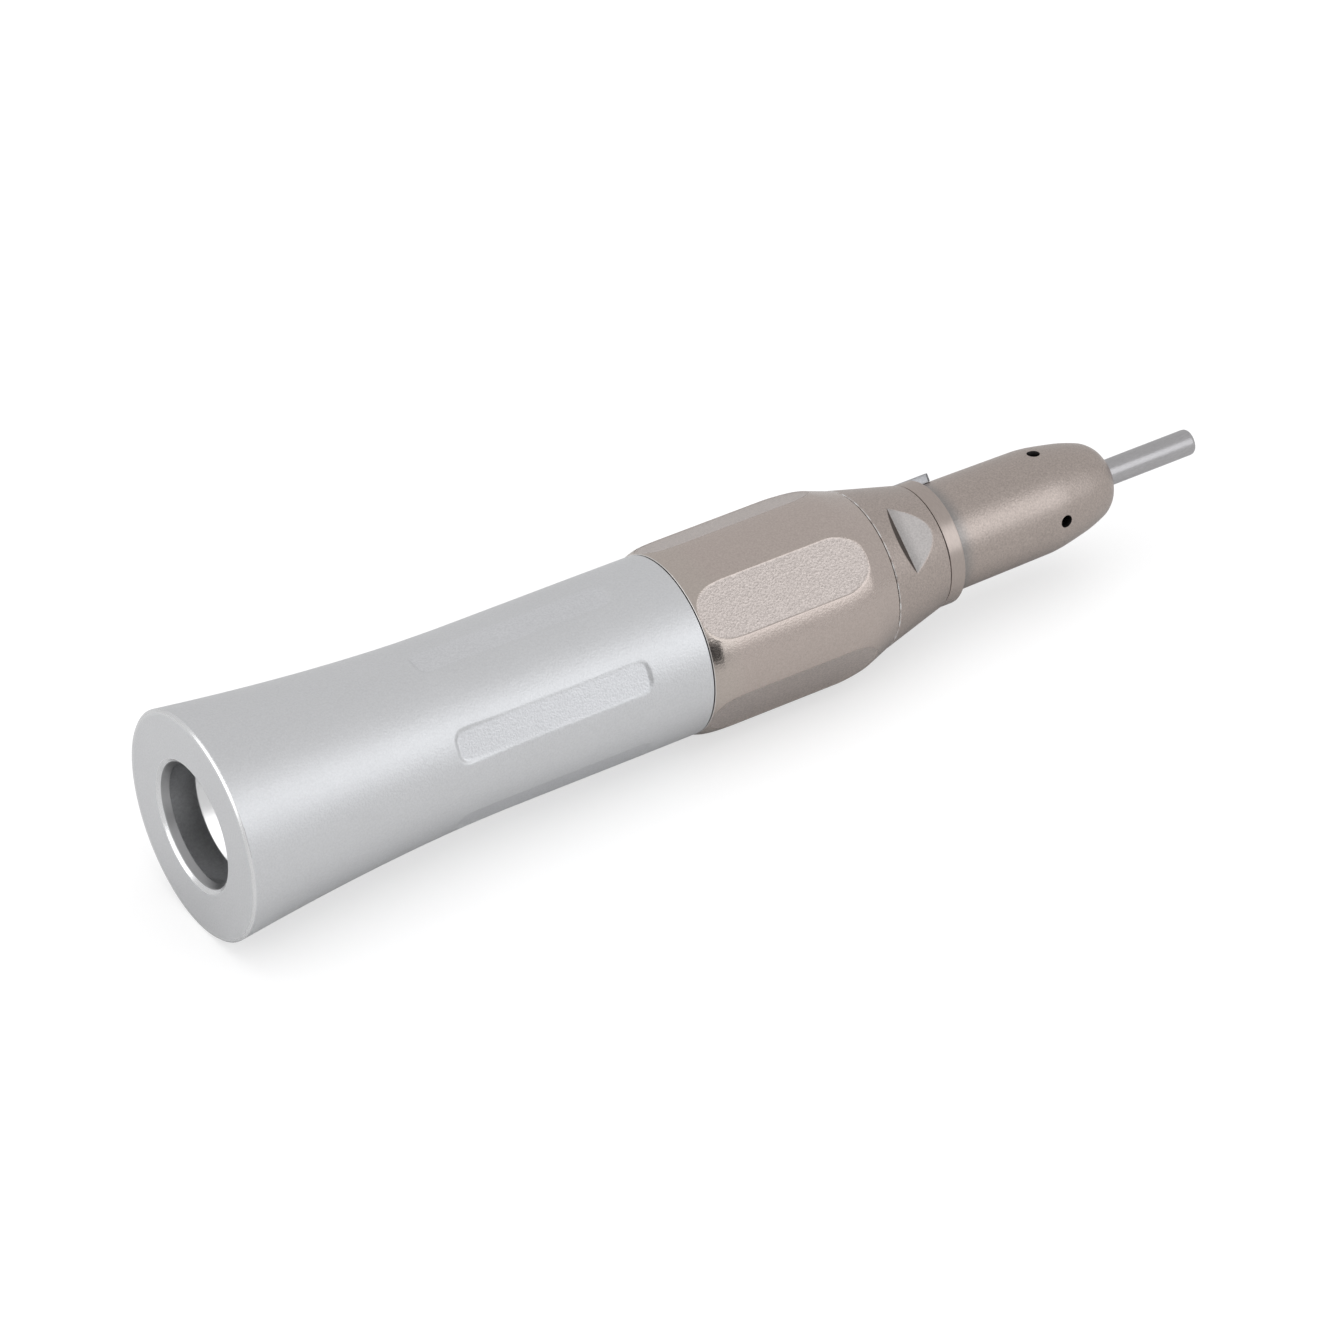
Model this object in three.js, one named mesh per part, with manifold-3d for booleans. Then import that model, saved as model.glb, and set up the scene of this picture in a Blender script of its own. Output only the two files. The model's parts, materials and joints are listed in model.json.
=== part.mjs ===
// Straight nose-cone dental handpiece with its test mandrel, lying on its side.
// Millimetres, +Z up. Every piece is turned about one axis, which runs along +X.
// Stations are distances along that axis from the rear face, growing toward the nose.
// Angles about the axis start at +Z and grow toward -Y.

import * as THREE from 'three';
import { mergeVertices } from 'three/addons/utils/BufferGeometryUtils.js';
import Module from 'manifold-3d';

const wasm = await Module();
wasm.setup();

// ---- driving dimensions ----

const OVERALL_LENGTH = 100.3;
const REAR_RADIUS = 10;
const GRIP_RADIUS = 7.95;
const FLARE_LENGTH = 26;
const FLARE_POWER = 1.7;
const SHEATH_END = 45.07;
const CHUCK_START = 45.2;
const CHUCK_END = 64.3;
const CHUCK_RADIUS = 8.4;
const INDEX_START = 64.45;
const INDEX_END = 70.8;
const COLLAR_START = 70.85;
const COLLAR_END = 72.33;
const COLLAR_RADIUS = 5.57;
const NOSE_START = 72.36;
const NOSE_END = 90.9;
const SHANK_RADIUS = 1.175;
const SHANK_LENGTH = 44.5;

const SOCKET_RADIUS = 4;
const SOCKET_LIP_RADIUS = 5.2;
const CORE_RADIUS = 4.9;
const CORE_BORE = 4.0;
const SPINDLE_RADIUS = 2.6;
const SPINDLE_BORE = 1.65;
const SEAT_RADIUS = 2.25;
const BEARING_RADIUS = 4.1;
const BEARING_WIDTH = 3;
const BALL_RADIUS = 0.55;
const BALL_COUNT = 7;
const CAM_PIN_RADIUS = 0.75;
const CROSS_PIN_RADIUS = 0.5;
const DOG_PIN_RADIUS = 0.4;

// Turning the chuck ring by CHUCK_TURN degrees pushes the collet CHUCK_TRAVEL forward.
const CHUCK_TURN = 45;
const CHUCK_TRAVEL = 0.7;
const DOG_TRAVEL = 1.2;

// Clearances between neighbouring pieces.
const SLIDE_GAP = 0.05;
const LOOSE_GAP = 0.1;

// How far a cutting tool reaches through a wall.
const THROUGH = 2;

// Stations of the inner mechanism.
const DOG_START = 18.4;
const DOG_END = 23.4;
const DOG_PIN = 22;
const REAR_BEARING = 28.55;
const MIDDLE_BEARING = 75.25;
const FRONT_BEARING = 81.3;
const CAM_PIN = 50;
const CROSS_PIN = 55.25;
const SPRING_SEAT = 66;
const SPINDLE_END = 88.6;

// The chuck ring's flats are centred at FLAT_ANGLE and every 72 degrees from there.
// Outer facets start at FACET_ANGLE, which centres one of them under each flat.
const FLAT_ANGLE = 43.2;
const FACET_ANGLE = 1.2;
const OUTER_SEGMENTS = 30;
const INNER_SEGMENTS = 20;
const PIN_SEGMENTS = 10;

// ---- materials ----

function metal(colour, roughness, metalness) {
  return new THREE.MeshStandardMaterial({ color: colour, roughness, metalness });
}

const pearlAluminium = metal(0xbfc1c4, 0.45, 1);
const champagneNickel = metal(0xa79c92, 0.4, 1);
const polishedSteel = metal(0xc9cacc, 0.15, 1);
const groundSteel = metal(0xa9aaac, 0.28, 1);
const hardenedSteel = metal(0x9a9c9f, 0.22, 1);
const springSteel = metal(0x8b8d90, 0.35, 1);
const bronze = metal(0x9c6b3a, 0.4, 1);
const blackRubber = metal(0x1c1c1d, 0.75, 0);
const sealPolymer = metal(0xd9d5cb, 0.55, 0);

// ---- solids ----

const radians = THREE.MathUtils.degToRad;

// Welds a closed three.js geometry into a solid that can be joined and cut.
function toSolid(geometry) {
  geometry.deleteAttribute('normal');
  geometry.deleteAttribute('uv');
  const welded = mergeVertices(geometry);
  const index = welded.index.array;
  const triangles = [];
  for (let i = 0; i < index.length; i += 3) {
    const [a, b, c] = index.subarray(i, i + 3);
    if (a !== b && b !== c && c !== a) {
      triangles.push(a, b, c);
    }
  }
  return new wasm.Manifold(new wasm.Mesh({
    numProp: 3,
    vertProperties: new Float32Array(welded.attributes.position.array),
    triVerts: new Uint32Array(triangles),
  }));
}

function toGeometry(solid) {
  const mesh = solid.getMesh();
  const geometry = new THREE.BufferGeometry();
  geometry.setAttribute('position', new THREE.BufferAttribute(mesh.vertProperties, 3));
  geometry.setIndex(new THREE.BufferAttribute(mesh.triVerts, 1));
  geometry.computeVertexNormals();
  return geometry;
}

// Revolves a profile of [station, radius] points about the axis. A profile that
// doesn't touch the axis is closed on itself, which makes a ring.
function turned(profile, segments = INNER_SEGMENTS, firstAngle = 0) {
  const points = profile.map(([station, radius]) => new THREE.Vector2(radius, station));
  if (THREE.ShapeUtils.isClockWise(points)) {
    points.reverse();
  }
  if (points[0].x > 0 || points.at(-1).x > 0) {
    points.push(points[0].clone());
  }
  const geometry = new THREE.LatheGeometry(points, segments, radians(firstAngle));
  geometry.rotateZ(-Math.PI / 2);
  return toSolid(geometry);
}

function tube(start, end, inner, outer, segments = INNER_SEGMENTS) {
  return turned([[start, outer], [end, outer], [end, inner], [start, inner]], segments);
}

// Moves a geometry that was built over the axis out to its station, radius and angle.
function placed(geometry, station, radius, angle) {
  geometry.translate(station, 0, radius);
  geometry.rotateX(radians(angle));
  return toSolid(geometry);
}

// A block whose length lies along the axis and whose height is radial.
function block(length, width, height, station, radius, angle) {
  return placed(new THREE.BoxGeometry(length, width, height), station, radius, angle);
}

// A cylinder whose own axis is radial.
function radialPin(pinRadius, inner, outer, station, angle) {
  const geometry = new THREE.CylinderGeometry(pinRadius, pinRadius, outer - inner, PIN_SEGMENTS);
  geometry.rotateX(Math.PI / 2);
  return placed(geometry, station, (inner + outer) / 2, angle);
}

// A curved slot: it follows an arc about the axis while its station climbs evenly.
function helicalSlot({ from, to, station, climb, width, inner, outer }) {
  const steps = Math.ceil((to - from) / 6);
  const geometry = new THREE.BoxGeometry(1, 1, 1, steps, 1, 1);
  const position = geometry.attributes.position;
  for (let i = 0; i < position.count; i += 1) {
    const share = position.getX(i) + 0.5;
    const angle = radians(from + (to - from) * share);
    const radius = inner + (outer - inner) * (position.getZ(i) + 0.5);
    const along = station + climb * share + width * position.getY(i);
    position.setXYZ(i, along, -radius * Math.sin(angle), radius * Math.cos(angle));
  }
  return outward(toSolid(geometry));
}

// Turns a solid right side out when its mapping has mirrored it.
function outward(solid) {
  if (solid.volume() > 0) {
    return solid;
  }
  const mesh = solid.getMesh();
  return new wasm.Manifold(new wasm.Mesh({
    numProp: 3,
    vertProperties: mesh.vertProperties,
    triVerts: mesh.triVerts.slice().reverse(),
  }));
}

class Helix extends THREE.Curve {
  constructor(start, end, radius, turns) {
    super();
    Object.assign(this, { start, end, radius, turns });
  }

  getPoint(share, target = new THREE.Vector3()) {
    const angle = 2 * Math.PI * this.turns * share;
    const along = this.start + (this.end - this.start) * share;
    return target.set(along, -this.radius * Math.sin(angle), this.radius * Math.cos(angle));
  }
}

function coilSpring({ start, end, radius, wireRadius, turns }) {
  const stepsPerTurn = 9;
  const wireSides = 5;
  const outline = [];
  for (let i = 0; i < wireSides; i += 1) {
    const angle = 2 * Math.PI * i / wireSides;
    outline.push(new THREE.Vector2(wireRadius * Math.cos(angle), wireRadius * Math.sin(angle)));
  }
  const path = new Helix(start + wireRadius, end - wireRadius, radius, turns);
  const geometry = new THREE.ExtrudeGeometry(new THREE.Shape(outline), {
    steps: turns * stepsPerTurn,
    extrudePath: path,
  });
  return toSolid(geometry);
}

// A round bead, such as an O-ring, at a station.
function bead(station, radius, thickness) {
  const beadSides = 5;
  const geometry = new THREE.TorusGeometry(radius, thickness, beadSides, INNER_SEGMENTS);
  geometry.rotateY(Math.PI / 2);
  geometry.translate(station, 0, 0);
  return outward(toSolid(geometry));
}

function around(count, firstAngle, make) {
  const step = 360 / count;
  return Array.from({ length: count }, (unused, i) => make(firstAngle + i * step));
}

function cut(solid, tools) {
  return tools.reduce((left, tool) => left.subtract(tool), solid);
}

function join(solid, others) {
  return others.reduce((left, other) => left.add(other), solid);
}

// ---- rear half: sheath, motor socket and core ----

const TUBE_START = 1;
const TUBE_END = 24.3;
const TUBE_RADIUS = 6.3;
const CORE_REAR_RADIUS = 6.7;
const CORE_START = 24.4;
const CORE_STEP = 44.9;
const CORE_END = 72.2;
const O_RING_STATIONS = [28, 38.5];

function rearSheath() {
  const edge = 0.15;
  const flareSteps = 6;
  const profile = [[0, REAR_RADIUS - edge], [edge, REAR_RADIUS]];
  for (let i = 1; i <= flareSteps; i += 1) {
    const share = i / flareSteps;
    const flare = (REAR_RADIUS - GRIP_RADIUS) * (1 - share) ** FLARE_POWER;
    profile.push([FLARE_LENGTH * share, GRIP_RADIUS + flare]);
  }
  const mouthRadius = 5.8;
  const landStart = 0.3;
  const landRadius = 5.46;
  const shellBore = CORE_REAR_RADIUS + LOOSE_GAP;
  const tubeSeat = TUBE_RADIUS + SLIDE_GAP;
  profile.push(
    [SHEATH_END, GRIP_RADIUS - SLIDE_GAP],
    [SHEATH_END, shellBore],
    [CORE_START, shellBore],
    [CORE_START, tubeSeat],
    [TUBE_START - SLIDE_GAP, tubeSeat],
    [TUBE_START - SLIDE_GAP, SOCKET_LIP_RADIUS],
    [landStart, landRadius],
    [0, mouthRadius],
  );
  const firstPocket = 3;
  const pockets = around(6, firstPocket, gripPocket);
  return cut(turned(profile, OUTER_SEGMENTS, FACET_ANGLE), pockets);
}

// One of the shallow flat-floored finger pockets, as a cutting tool.
function gripPocket(angle) {
  const start = 20.6;
  const end = 39.6;
  const halfWidth = 1.65;
  const corner = 1.2;
  const floorRadius = 7.8;
  const shape = new THREE.Shape();
  shape.moveTo(start + corner, -halfWidth);
  shape.lineTo(end - corner, -halfWidth);
  shape.quadraticCurveTo(end, -halfWidth, end, 0);
  shape.quadraticCurveTo(end, halfWidth, end - corner, halfWidth);
  shape.lineTo(start + corner, halfWidth);
  shape.quadraticCurveTo(start, halfWidth, start, 0);
  shape.quadraticCurveTo(start, -halfWidth, start + corner, -halfWidth);
  const geometry = new THREE.ExtrudeGeometry(shape, {
    depth: 1,
    bevelEnabled: false,
    curveSegments: 4,
  });
  return placed(geometry, 0, floorRadius, angle);
}

// The socket narrows at a cone, which the motor's nose is centred on.
function couplingTube() {
  const coneStart = 3.3;
  const coneEnd = coneStart + SOCKET_LIP_RADIUS - SOCKET_RADIUS;
  const floor = 22.5;
  const dogHole = 3.2;
  return turned([
    [TUBE_START, TUBE_RADIUS],
    [TUBE_END, TUBE_RADIUS],
    [TUBE_END, dogHole],
    [floor, dogHole],
    [floor, SOCKET_RADIUS],
    [coneEnd, SOCKET_RADIUS],
    [coneStart, SOCKET_LIP_RADIUS],
    [TUBE_START, SOCKET_LIP_RADIUS],
  ]);
}

const DETENT_ANGLE = 180;
const DETENT_PITCH = 5.8;
const DETENT_BALL_RADIUS = 0.7;
const DETENT_BALL_STATION = 44.75;
const DETENT_HOLE_START = 40.9;
const CAM_PIN_ANGLES = [90, 270];

function bodyCore() {
  const seatEnd = REAR_BEARING + BEARING_WIDTH / 2;
  const seatRadius = BEARING_RADIUS + SLIDE_GAP;
  const shoulderEnd = seatEnd + 1;
  const shoulderBore = 3.6;
  const noseThread = 4.5;
  const noseThreadStart = 68.4;
  const grooveDepth = 0.55;
  const grooveHalf = 0.35;
  const grooves = O_RING_STATIONS.flatMap((station) => [
    [station - grooveHalf, CORE_REAR_RADIUS],
    [station - grooveHalf, CORE_REAR_RADIUS - grooveDepth],
    [station + grooveHalf, CORE_REAR_RADIUS - grooveDepth],
    [station + grooveHalf, CORE_REAR_RADIUS],
  ]);
  const tubeBody = turned([
    [CORE_START, CORE_REAR_RADIUS],
    ...grooves,
    [CORE_STEP, CORE_REAR_RADIUS],
    [CORE_STEP, CORE_RADIUS],
    [CORE_END, CORE_RADIUS],
    [CORE_END, noseThread],
    [noseThreadStart, noseThread],
    [noseThreadStart, CORE_BORE],
    [shoulderEnd, CORE_BORE],
    [shoulderEnd, shoulderBore],
    [seatEnd, shoulderBore],
    [seatEnd, seatRadius],
    [CORE_START, seatRadius],
  ]);
  const slotLength = CHUCK_TRAVEL + 2 * CAM_PIN_RADIUS + 2 * LOOSE_GAP;
  const slotWidth = 2 * (CAM_PIN_RADIUS + LOOSE_GAP);
  const slotCentre = CAM_PIN + CHUCK_TRAVEL / 2;
  const slots = CAM_PIN_ANGLES.map(
    (angle) => block(slotLength, slotWidth, THROUGH, slotCentre, CORE_RADIUS, angle),
  );
  const detentLength = CORE_STEP + SLIDE_GAP - DETENT_HOLE_START;
  const holeRadius = DETENT_BALL_RADIUS + LOOSE_GAP;
  const hole = new THREE.CylinderGeometry(holeRadius, holeRadius, detentLength, PIN_SEGMENTS);
  hole.rotateZ(-Math.PI / 2);
  const holeCentre = DETENT_HOLE_START + detentLength / 2;
  const detentHole = placed(hole, holeCentre, DETENT_PITCH, DETENT_ANGLE);
  return cut(tubeBody, [...slots, detentHole]);
}

function detentBall() {
  const geometry = new THREE.SphereGeometry(DETENT_BALL_RADIUS, 10, 6);
  return placed(geometry, DETENT_BALL_STATION, DETENT_PITCH, DETENT_ANGLE);
}

function detentSpring() {
  const end = DETENT_BALL_STATION - DETENT_BALL_RADIUS - SLIDE_GAP;
  const spring = coilSpring({
    start: DETENT_HOLE_START + SLIDE_GAP,
    end,
    radius: 0.45,
    wireRadius: 0.14,
    turns: 4,
  });
  const pitchPoint = new THREE.Vector3(0, 0, DETENT_PITCH);
  pitchPoint.applyAxisAngle(new THREE.Vector3(1, 0, 0), radians(DETENT_ANGLE));
  return spring.translate(0, pitchPoint.y, pitchPoint.z);
}

// ---- chuck ring and the cam that it drives ----

const CAM_BORE = CORE_RADIUS + 0.08;
const CAM_RADIUS = 5.9;

function chuckRing() {
  const flatDistance = 8;
  const rearFlangeEnd = 45.95;
  const ringBore = CAM_RADIUS + SLIDE_GAP;
  const ring = turned([
    [CHUCK_START, 7.94],
    [45.5, 8.08],
    [46.1, 8.25],
    [47.1, 8.36],
    [48, CHUCK_RADIUS],
    [60.1, CHUCK_RADIUS],
    [60.6, 8.29],
    [61.6, 8.12],
    [62.2, 7.9],
    [CHUCK_END, 7.22],
    [CHUCK_END, ringBore],
    [rearFlangeEnd, ringBore],
    [rearFlangeEnd, CAM_BORE],
    [CHUCK_START, CAM_BORE],
  ], OUTER_SEGMENTS, FACET_ANGLE);
  const middle = (CHUCK_START + CHUCK_END) / 2;
  const flatWidth = 9;
  const flats = around(5, FLAT_ANGLE, (angle) => (
    block(CHUCK_END, flatWidth, THROUGH, middle, flatDistance + THROUGH / 2, angle)
  ));
  const ballReach = 10;
  const track = helicalSlot({
    from: DETENT_ANGLE - CHUCK_TURN - ballReach,
    to: DETENT_ANGLE + ballReach,
    station: CHUCK_START,
    climb: 0,
    width: 0.7,
    inner: DETENT_PITCH - DETENT_BALL_RADIUS,
    outer: DETENT_PITCH + DETENT_BALL_RADIUS,
  });
  return cut(ring, [...flats, track]);
}

function camSleeve() {
  const start = 46;
  const end = 63.9;
  const pinReach = 10;
  const share = pinReach / CHUCK_TURN;
  const slots = CAM_PIN_ANGLES.map((angle) => helicalSlot({
    from: angle - CHUCK_TURN - pinReach,
    to: angle + pinReach,
    station: CAM_PIN + CHUCK_TRAVEL * (1 + share),
    climb: -CHUCK_TRAVEL * (1 + 2 * share),
    width: 2 * CAM_PIN_RADIUS + 3 * LOOSE_GAP,
    inner: CAM_BORE - 0.5,
    outer: CAM_RADIUS + 0.5,
  }));
  return cut(tube(start, end, CAM_BORE, CAM_RADIUS), slots);
}

// ---- thrust sleeve, which the cam pins push forward ----

const THRUST_START = 47;
const THRUST_END = 53;
const THRUST_WASHER_END = 53.7;
const SPINDLE_CLEAR = SPINDLE_RADIUS + 0.12;
const CAM_PIN_FOOT = 2.95;

function thrustSleeve() {
  const sleeve = tube(THRUST_START, THRUST_END, SPINDLE_CLEAR, CORE_BORE - LOOSE_GAP);
  const holes = CAM_PIN_ANGLES.map(
    (angle) => radialPin(CAM_PIN_RADIUS + SLIDE_GAP, THROUGH, CORE_RADIUS, CAM_PIN, angle),
  );
  return cut(sleeve, holes);
}

function camPin(angle) {
  return radialPin(CAM_PIN_RADIUS, CAM_PIN_FOOT, CAM_RADIUS - LOOSE_GAP, CAM_PIN, angle);
}

function thrustWasher() {
  return tube(THRUST_END, THRUST_WASHER_END, SPINDLE_CLEAR, DRAW_COLLAR_RADIUS);
}

// ---- bearings ----

const BALL_PITCH = 3.195;
const GROOVE_RADIUS = 0.63;
const OUTER_RACE_BORE = 3.65;
const INNER_RACE_BORE = SEAT_RADIUS + 0.03;
const INNER_RACE_RADIUS = 2.74;

// The rounded ball track of a race whose plain surface has the given radius.
function grooveArc(surfaceRadius) {
  const height = surfaceRadius - BALL_PITCH;
  const edgeAngle = Math.asin(height / GROOVE_RADIUS);
  const halfSweep = Math.PI / 2 - Math.abs(edgeAngle);
  const side = Math.sign(height);
  return [1, 0.5, 0, -0.5, -1].map((share) => [
    GROOVE_RADIUS * Math.sin(halfSweep * share),
    BALL_PITCH + side * GROOVE_RADIUS * Math.cos(halfSweep * share),
  ]);
}

function outerRace() {
  const half = BEARING_WIDTH / 2;
  return turned([
    [-half, BEARING_RADIUS],
    [half, BEARING_RADIUS],
    [half, OUTER_RACE_BORE],
    ...grooveArc(OUTER_RACE_BORE),
    [-half, OUTER_RACE_BORE],
  ]);
}

function innerRace() {
  const half = BEARING_WIDTH / 2;
  return turned([
    [-half, INNER_RACE_BORE],
    [half, INNER_RACE_BORE],
    [half, INNER_RACE_RADIUS],
    ...grooveArc(INNER_RACE_RADIUS),
    [-half, INNER_RACE_RADIUS],
  ]);
}

// The balls and the cage that spaces them, which circle together between the races.
function ballCage() {
  const cageHalf = 0.9;
  const cageWall = 0.36;
  const inner = BALL_PITCH - cageWall / 2;
  const cage = tube(-cageHalf, cageHalf, inner, inner + cageWall, 2 * BALL_COUNT);
  const balls = around(BALL_COUNT, 0, (angle) => (
    placed(new THREE.SphereGeometry(BALL_RADIUS, 8, 5), 0, BALL_PITCH, angle)
  ));
  return join(cage, balls);
}

// The rings that hold the bearings in place.
const RETAINER_BORE = 3.3;

function rearBearingRetainer() {
  const start = 25.3;
  const end = REAR_BEARING - BEARING_WIDTH / 2 - LOOSE_GAP;
  return tube(start, end, RETAINER_BORE, BEARING_RADIUS);
}

function bearingRetainerNut() {
  const start = 69.5;
  return tube(start, CORE_END, RETAINER_BORE, BEARING_RADIUS);
}

function frontLockNut() {
  const start = FRONT_BEARING + BEARING_WIDTH / 2 + LOOSE_GAP;
  const length = 1.3;
  const outer = 3.1;
  return tube(start, start + length, INNER_RACE_BORE, outer);
}

// A spacer sleeve that fills the gap between the two nose bearings.
function spacer(inner, outer) {
  const start = MIDDLE_BEARING + BEARING_WIDTH / 2 + SLIDE_GAP;
  const end = FRONT_BEARING - BEARING_WIDTH / 2 - SLIDE_GAP;
  return tube(start, end, inner, outer);
}

// ---- spindle and what turns with it ----

const CLIP_START = 26.4;
const CLIP_END = 26.8;
const CLIP_GROOVE_RADIUS = 2;

function spindle() {
  const stubRadius = 1.5;
  const stubEnd = 26.2;
  const boreEnd = 52;
  const seatStart = REAR_BEARING + BEARING_WIDTH / 2;
  const noseSeat = MIDDLE_BEARING - BEARING_WIDTH / 2 - SLIDE_GAP;
  const flangeEnd = SPRING_SEAT + 0.9;
  const flangeRadius = 3.8;
  const taperStart = 86.2;
  const mouthRadius = 2;
  const shaft = turned([
    [DOG_START + 2.2, 0],
    [DOG_START + 2.2, stubRadius],
    [stubEnd, stubRadius],
    [stubEnd, SEAT_RADIUS],
    [CLIP_START - SLIDE_GAP, SEAT_RADIUS],
    [CLIP_START - SLIDE_GAP, CLIP_GROOVE_RADIUS],
    [CLIP_END + SLIDE_GAP, CLIP_GROOVE_RADIUS],
    [CLIP_END + SLIDE_GAP, SEAT_RADIUS],
    [seatStart, SEAT_RADIUS],
    [seatStart, SPINDLE_RADIUS],
    [SPRING_SEAT, SPINDLE_RADIUS],
    [SPRING_SEAT, flangeRadius],
    [flangeEnd, flangeRadius],
    [flangeEnd, SPINDLE_RADIUS],
    [noseSeat, SPINDLE_RADIUS],
    [noseSeat, SEAT_RADIUS],
    [SPINDLE_END, SEAT_RADIUS],
    [SPINDLE_END, mouthRadius],
    [taperStart, SPINDLE_BORE],
    [boreEnd, SPINDLE_BORE],
    [boreEnd, 0],
  ]);
  const dogSlotLength = DOG_TRAVEL + 2 * DOG_PIN_RADIUS + 2 * LOOSE_GAP;
  const dogSlotWidth = 2 * (DOG_PIN_RADIUS + LOOSE_GAP);
  const dogSlotCentre = DOG_PIN + DOG_TRAVEL / 2;
  const across = 8;
  const dogSlot = block(dogSlotLength, dogSlotWidth, across, dogSlotCentre, 0, 0);
  const pinSlotLength = CHUCK_TRAVEL + 2 * CROSS_PIN_RADIUS + 2 * LOOSE_GAP;
  const pinSlotWidth = 2 * (CROSS_PIN_RADIUS + LOOSE_GAP);
  const pinSlotCentre = CROSS_PIN + CHUCK_TRAVEL / 2;
  const pinSlot = block(pinSlotLength, pinSlotWidth, across, pinSlotCentre, 0, 0);
  return cut(shaft, [dogSlot, pinSlot]);
}

// A spring clip with a gap in its circle.
function rearCirclip() {
  const inner = CLIP_GROOVE_RADIUS + SLIDE_GAP;
  const outer = 2.9;
  const gap = 1.2;
  const clip = tube(CLIP_START, CLIP_END, inner, outer);
  return clip.subtract(block(THROUGH, gap, THROUGH, CLIP_START, outer, 0));
}

// A flat ring that waves lightly along the axis as it goes round.
function preloadWasher() {
  const start = 72.65;
  const thickness = 0.3;
  const inner = 3.5;
  const outer = BEARING_RADIUS - SLIDE_GAP;
  const wave = 0.25;
  const waves = 3;
  const geometry = toGeometry(tube(start, start + thickness, inner, outer));
  const position = geometry.attributes.position;
  for (let i = 0; i < position.count; i += 1) {
    const angle = Math.atan2(position.getY(i), position.getZ(i));
    position.setX(i, position.getX(i) + wave * Math.cos(waves * angle));
  }
  return toSolid(geometry);
}

// ---- drive dog, which the motor's own dog turns ----

const DOG_RADIUS = 2.9;

function driveDog() {
  const forkDepth = 2;
  const forkWidth = 2.4;
  const chamfer = 0.3;
  const bore = 1.58;
  const body = turned([
    [DOG_START, DOG_RADIUS - chamfer],
    [DOG_START + chamfer, DOG_RADIUS],
    [DOG_END, DOG_RADIUS],
    [DOG_END, bore],
    [DOG_START, bore],
  ]);
  const fork = block(2 * forkDepth, forkWidth, 3 * DOG_RADIUS, DOG_START, 0, 90);
  const pinHole = crossPin(DOG_PIN_RADIUS + SLIDE_GAP, DOG_RADIUS + 1, DOG_PIN);
  return cut(body, [fork, pinHole]);
}

function dogPin() {
  return crossPin(DOG_PIN_RADIUS, DOG_RADIUS - 0.15, DOG_PIN);
}

// A straight pin right across the axis.
function crossPin(pinRadius, reach, station) {
  return radialPin(pinRadius, -reach, reach, station, 0);
}

// ---- collet, draw collar and the pin that ties them through the spindle ----

const COLLET_RADIUS = 1.6;
const DRAW_COLLAR_START = 53.8;
const DRAW_COLLAR_END = 56.6;
const DRAW_COLLAR_RADIUS = 3.85;

function collet() {
  const tailStart = 53.4;
  const headStart = 86.25;
  const headEnd = 88.65;
  const headRadius = 1.94;
  const bore = SHANK_RADIUS + 0.025;
  const sleeve = turned([
    [tailStart, COLLET_RADIUS],
    [headStart, COLLET_RADIUS],
    [headEnd, headRadius],
    [headEnd, bore],
    [tailStart, bore],
  ]);
  const slitStart = 77;
  const slitLength = 14;
  const slitWidth = 0.35;
  const slitCentre = slitStart + slitLength / 2;
  const slits = around(3, 30, (angle) => (
    block(slitLength, slitWidth, 2 * COLLET_RADIUS, slitCentre, COLLET_RADIUS, angle)
  ));
  const pinHole = crossPin(CROSS_PIN_RADIUS + SLIDE_GAP, 2 * COLLET_RADIUS, CROSS_PIN);
  return cut(sleeve, [...slits, pinHole]);
}

function drawCollar() {
  const bore = SPINDLE_RADIUS + 0.08;
  const ring = tube(DRAW_COLLAR_START, DRAW_COLLAR_END, bore, DRAW_COLLAR_RADIUS);
  return ring.subtract(crossPin(CROSS_PIN_RADIUS + SLIDE_GAP, CORE_RADIUS, CROSS_PIN));
}

function colletPin() {
  return crossPin(CROSS_PIN_RADIUS, DRAW_COLLAR_RADIUS - 0.15, CROSS_PIN);
}

// ---- nose ----

const LUG_ANGLE = -41;
const LUG_WIDTH = 1.86;
const NOSE_SEAT = BEARING_RADIUS + SLIDE_GAP;
const SEAL_SEAT = 3.2;

function indexRing() {
  const rearRadius = 7.2;
  const frontRadius = 5.59;
  const bore = CORE_RADIUS + SLIDE_GAP;
  const firstNotch = 40.2;
  const cone = turned([
    [INDEX_START, rearRadius],
    [INDEX_END, frontRadius],
    [INDEX_END, bore],
    [INDEX_START, bore],
  ], OUTER_SEGMENTS, FACET_ANGLE);
  return cut(cone, around(2, firstNotch, wrenchNotch));
}

// A spanner flat with a sloping rear wall, as a cutting tool.
function wrenchNotch(angle) {
  const flatDistance = 5.83;
  const flatStart = 66.85;
  const reach = 3;
  const width = 14;
  const side = new THREE.Shape([
    new THREE.Vector2(flatStart, 0),
    new THREE.Vector2(INDEX_END + reach, 0),
    new THREE.Vector2(INDEX_END + reach, reach),
    new THREE.Vector2(flatStart - reach, reach),
  ]);
  const geometry = new THREE.ExtrudeGeometry(side, { depth: width, bevelEnabled: false });
  geometry.translate(0, 0, -width / 2);
  geometry.rotateX(Math.PI / 2);
  return placed(geometry, 0, flatDistance, angle);
}

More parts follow.
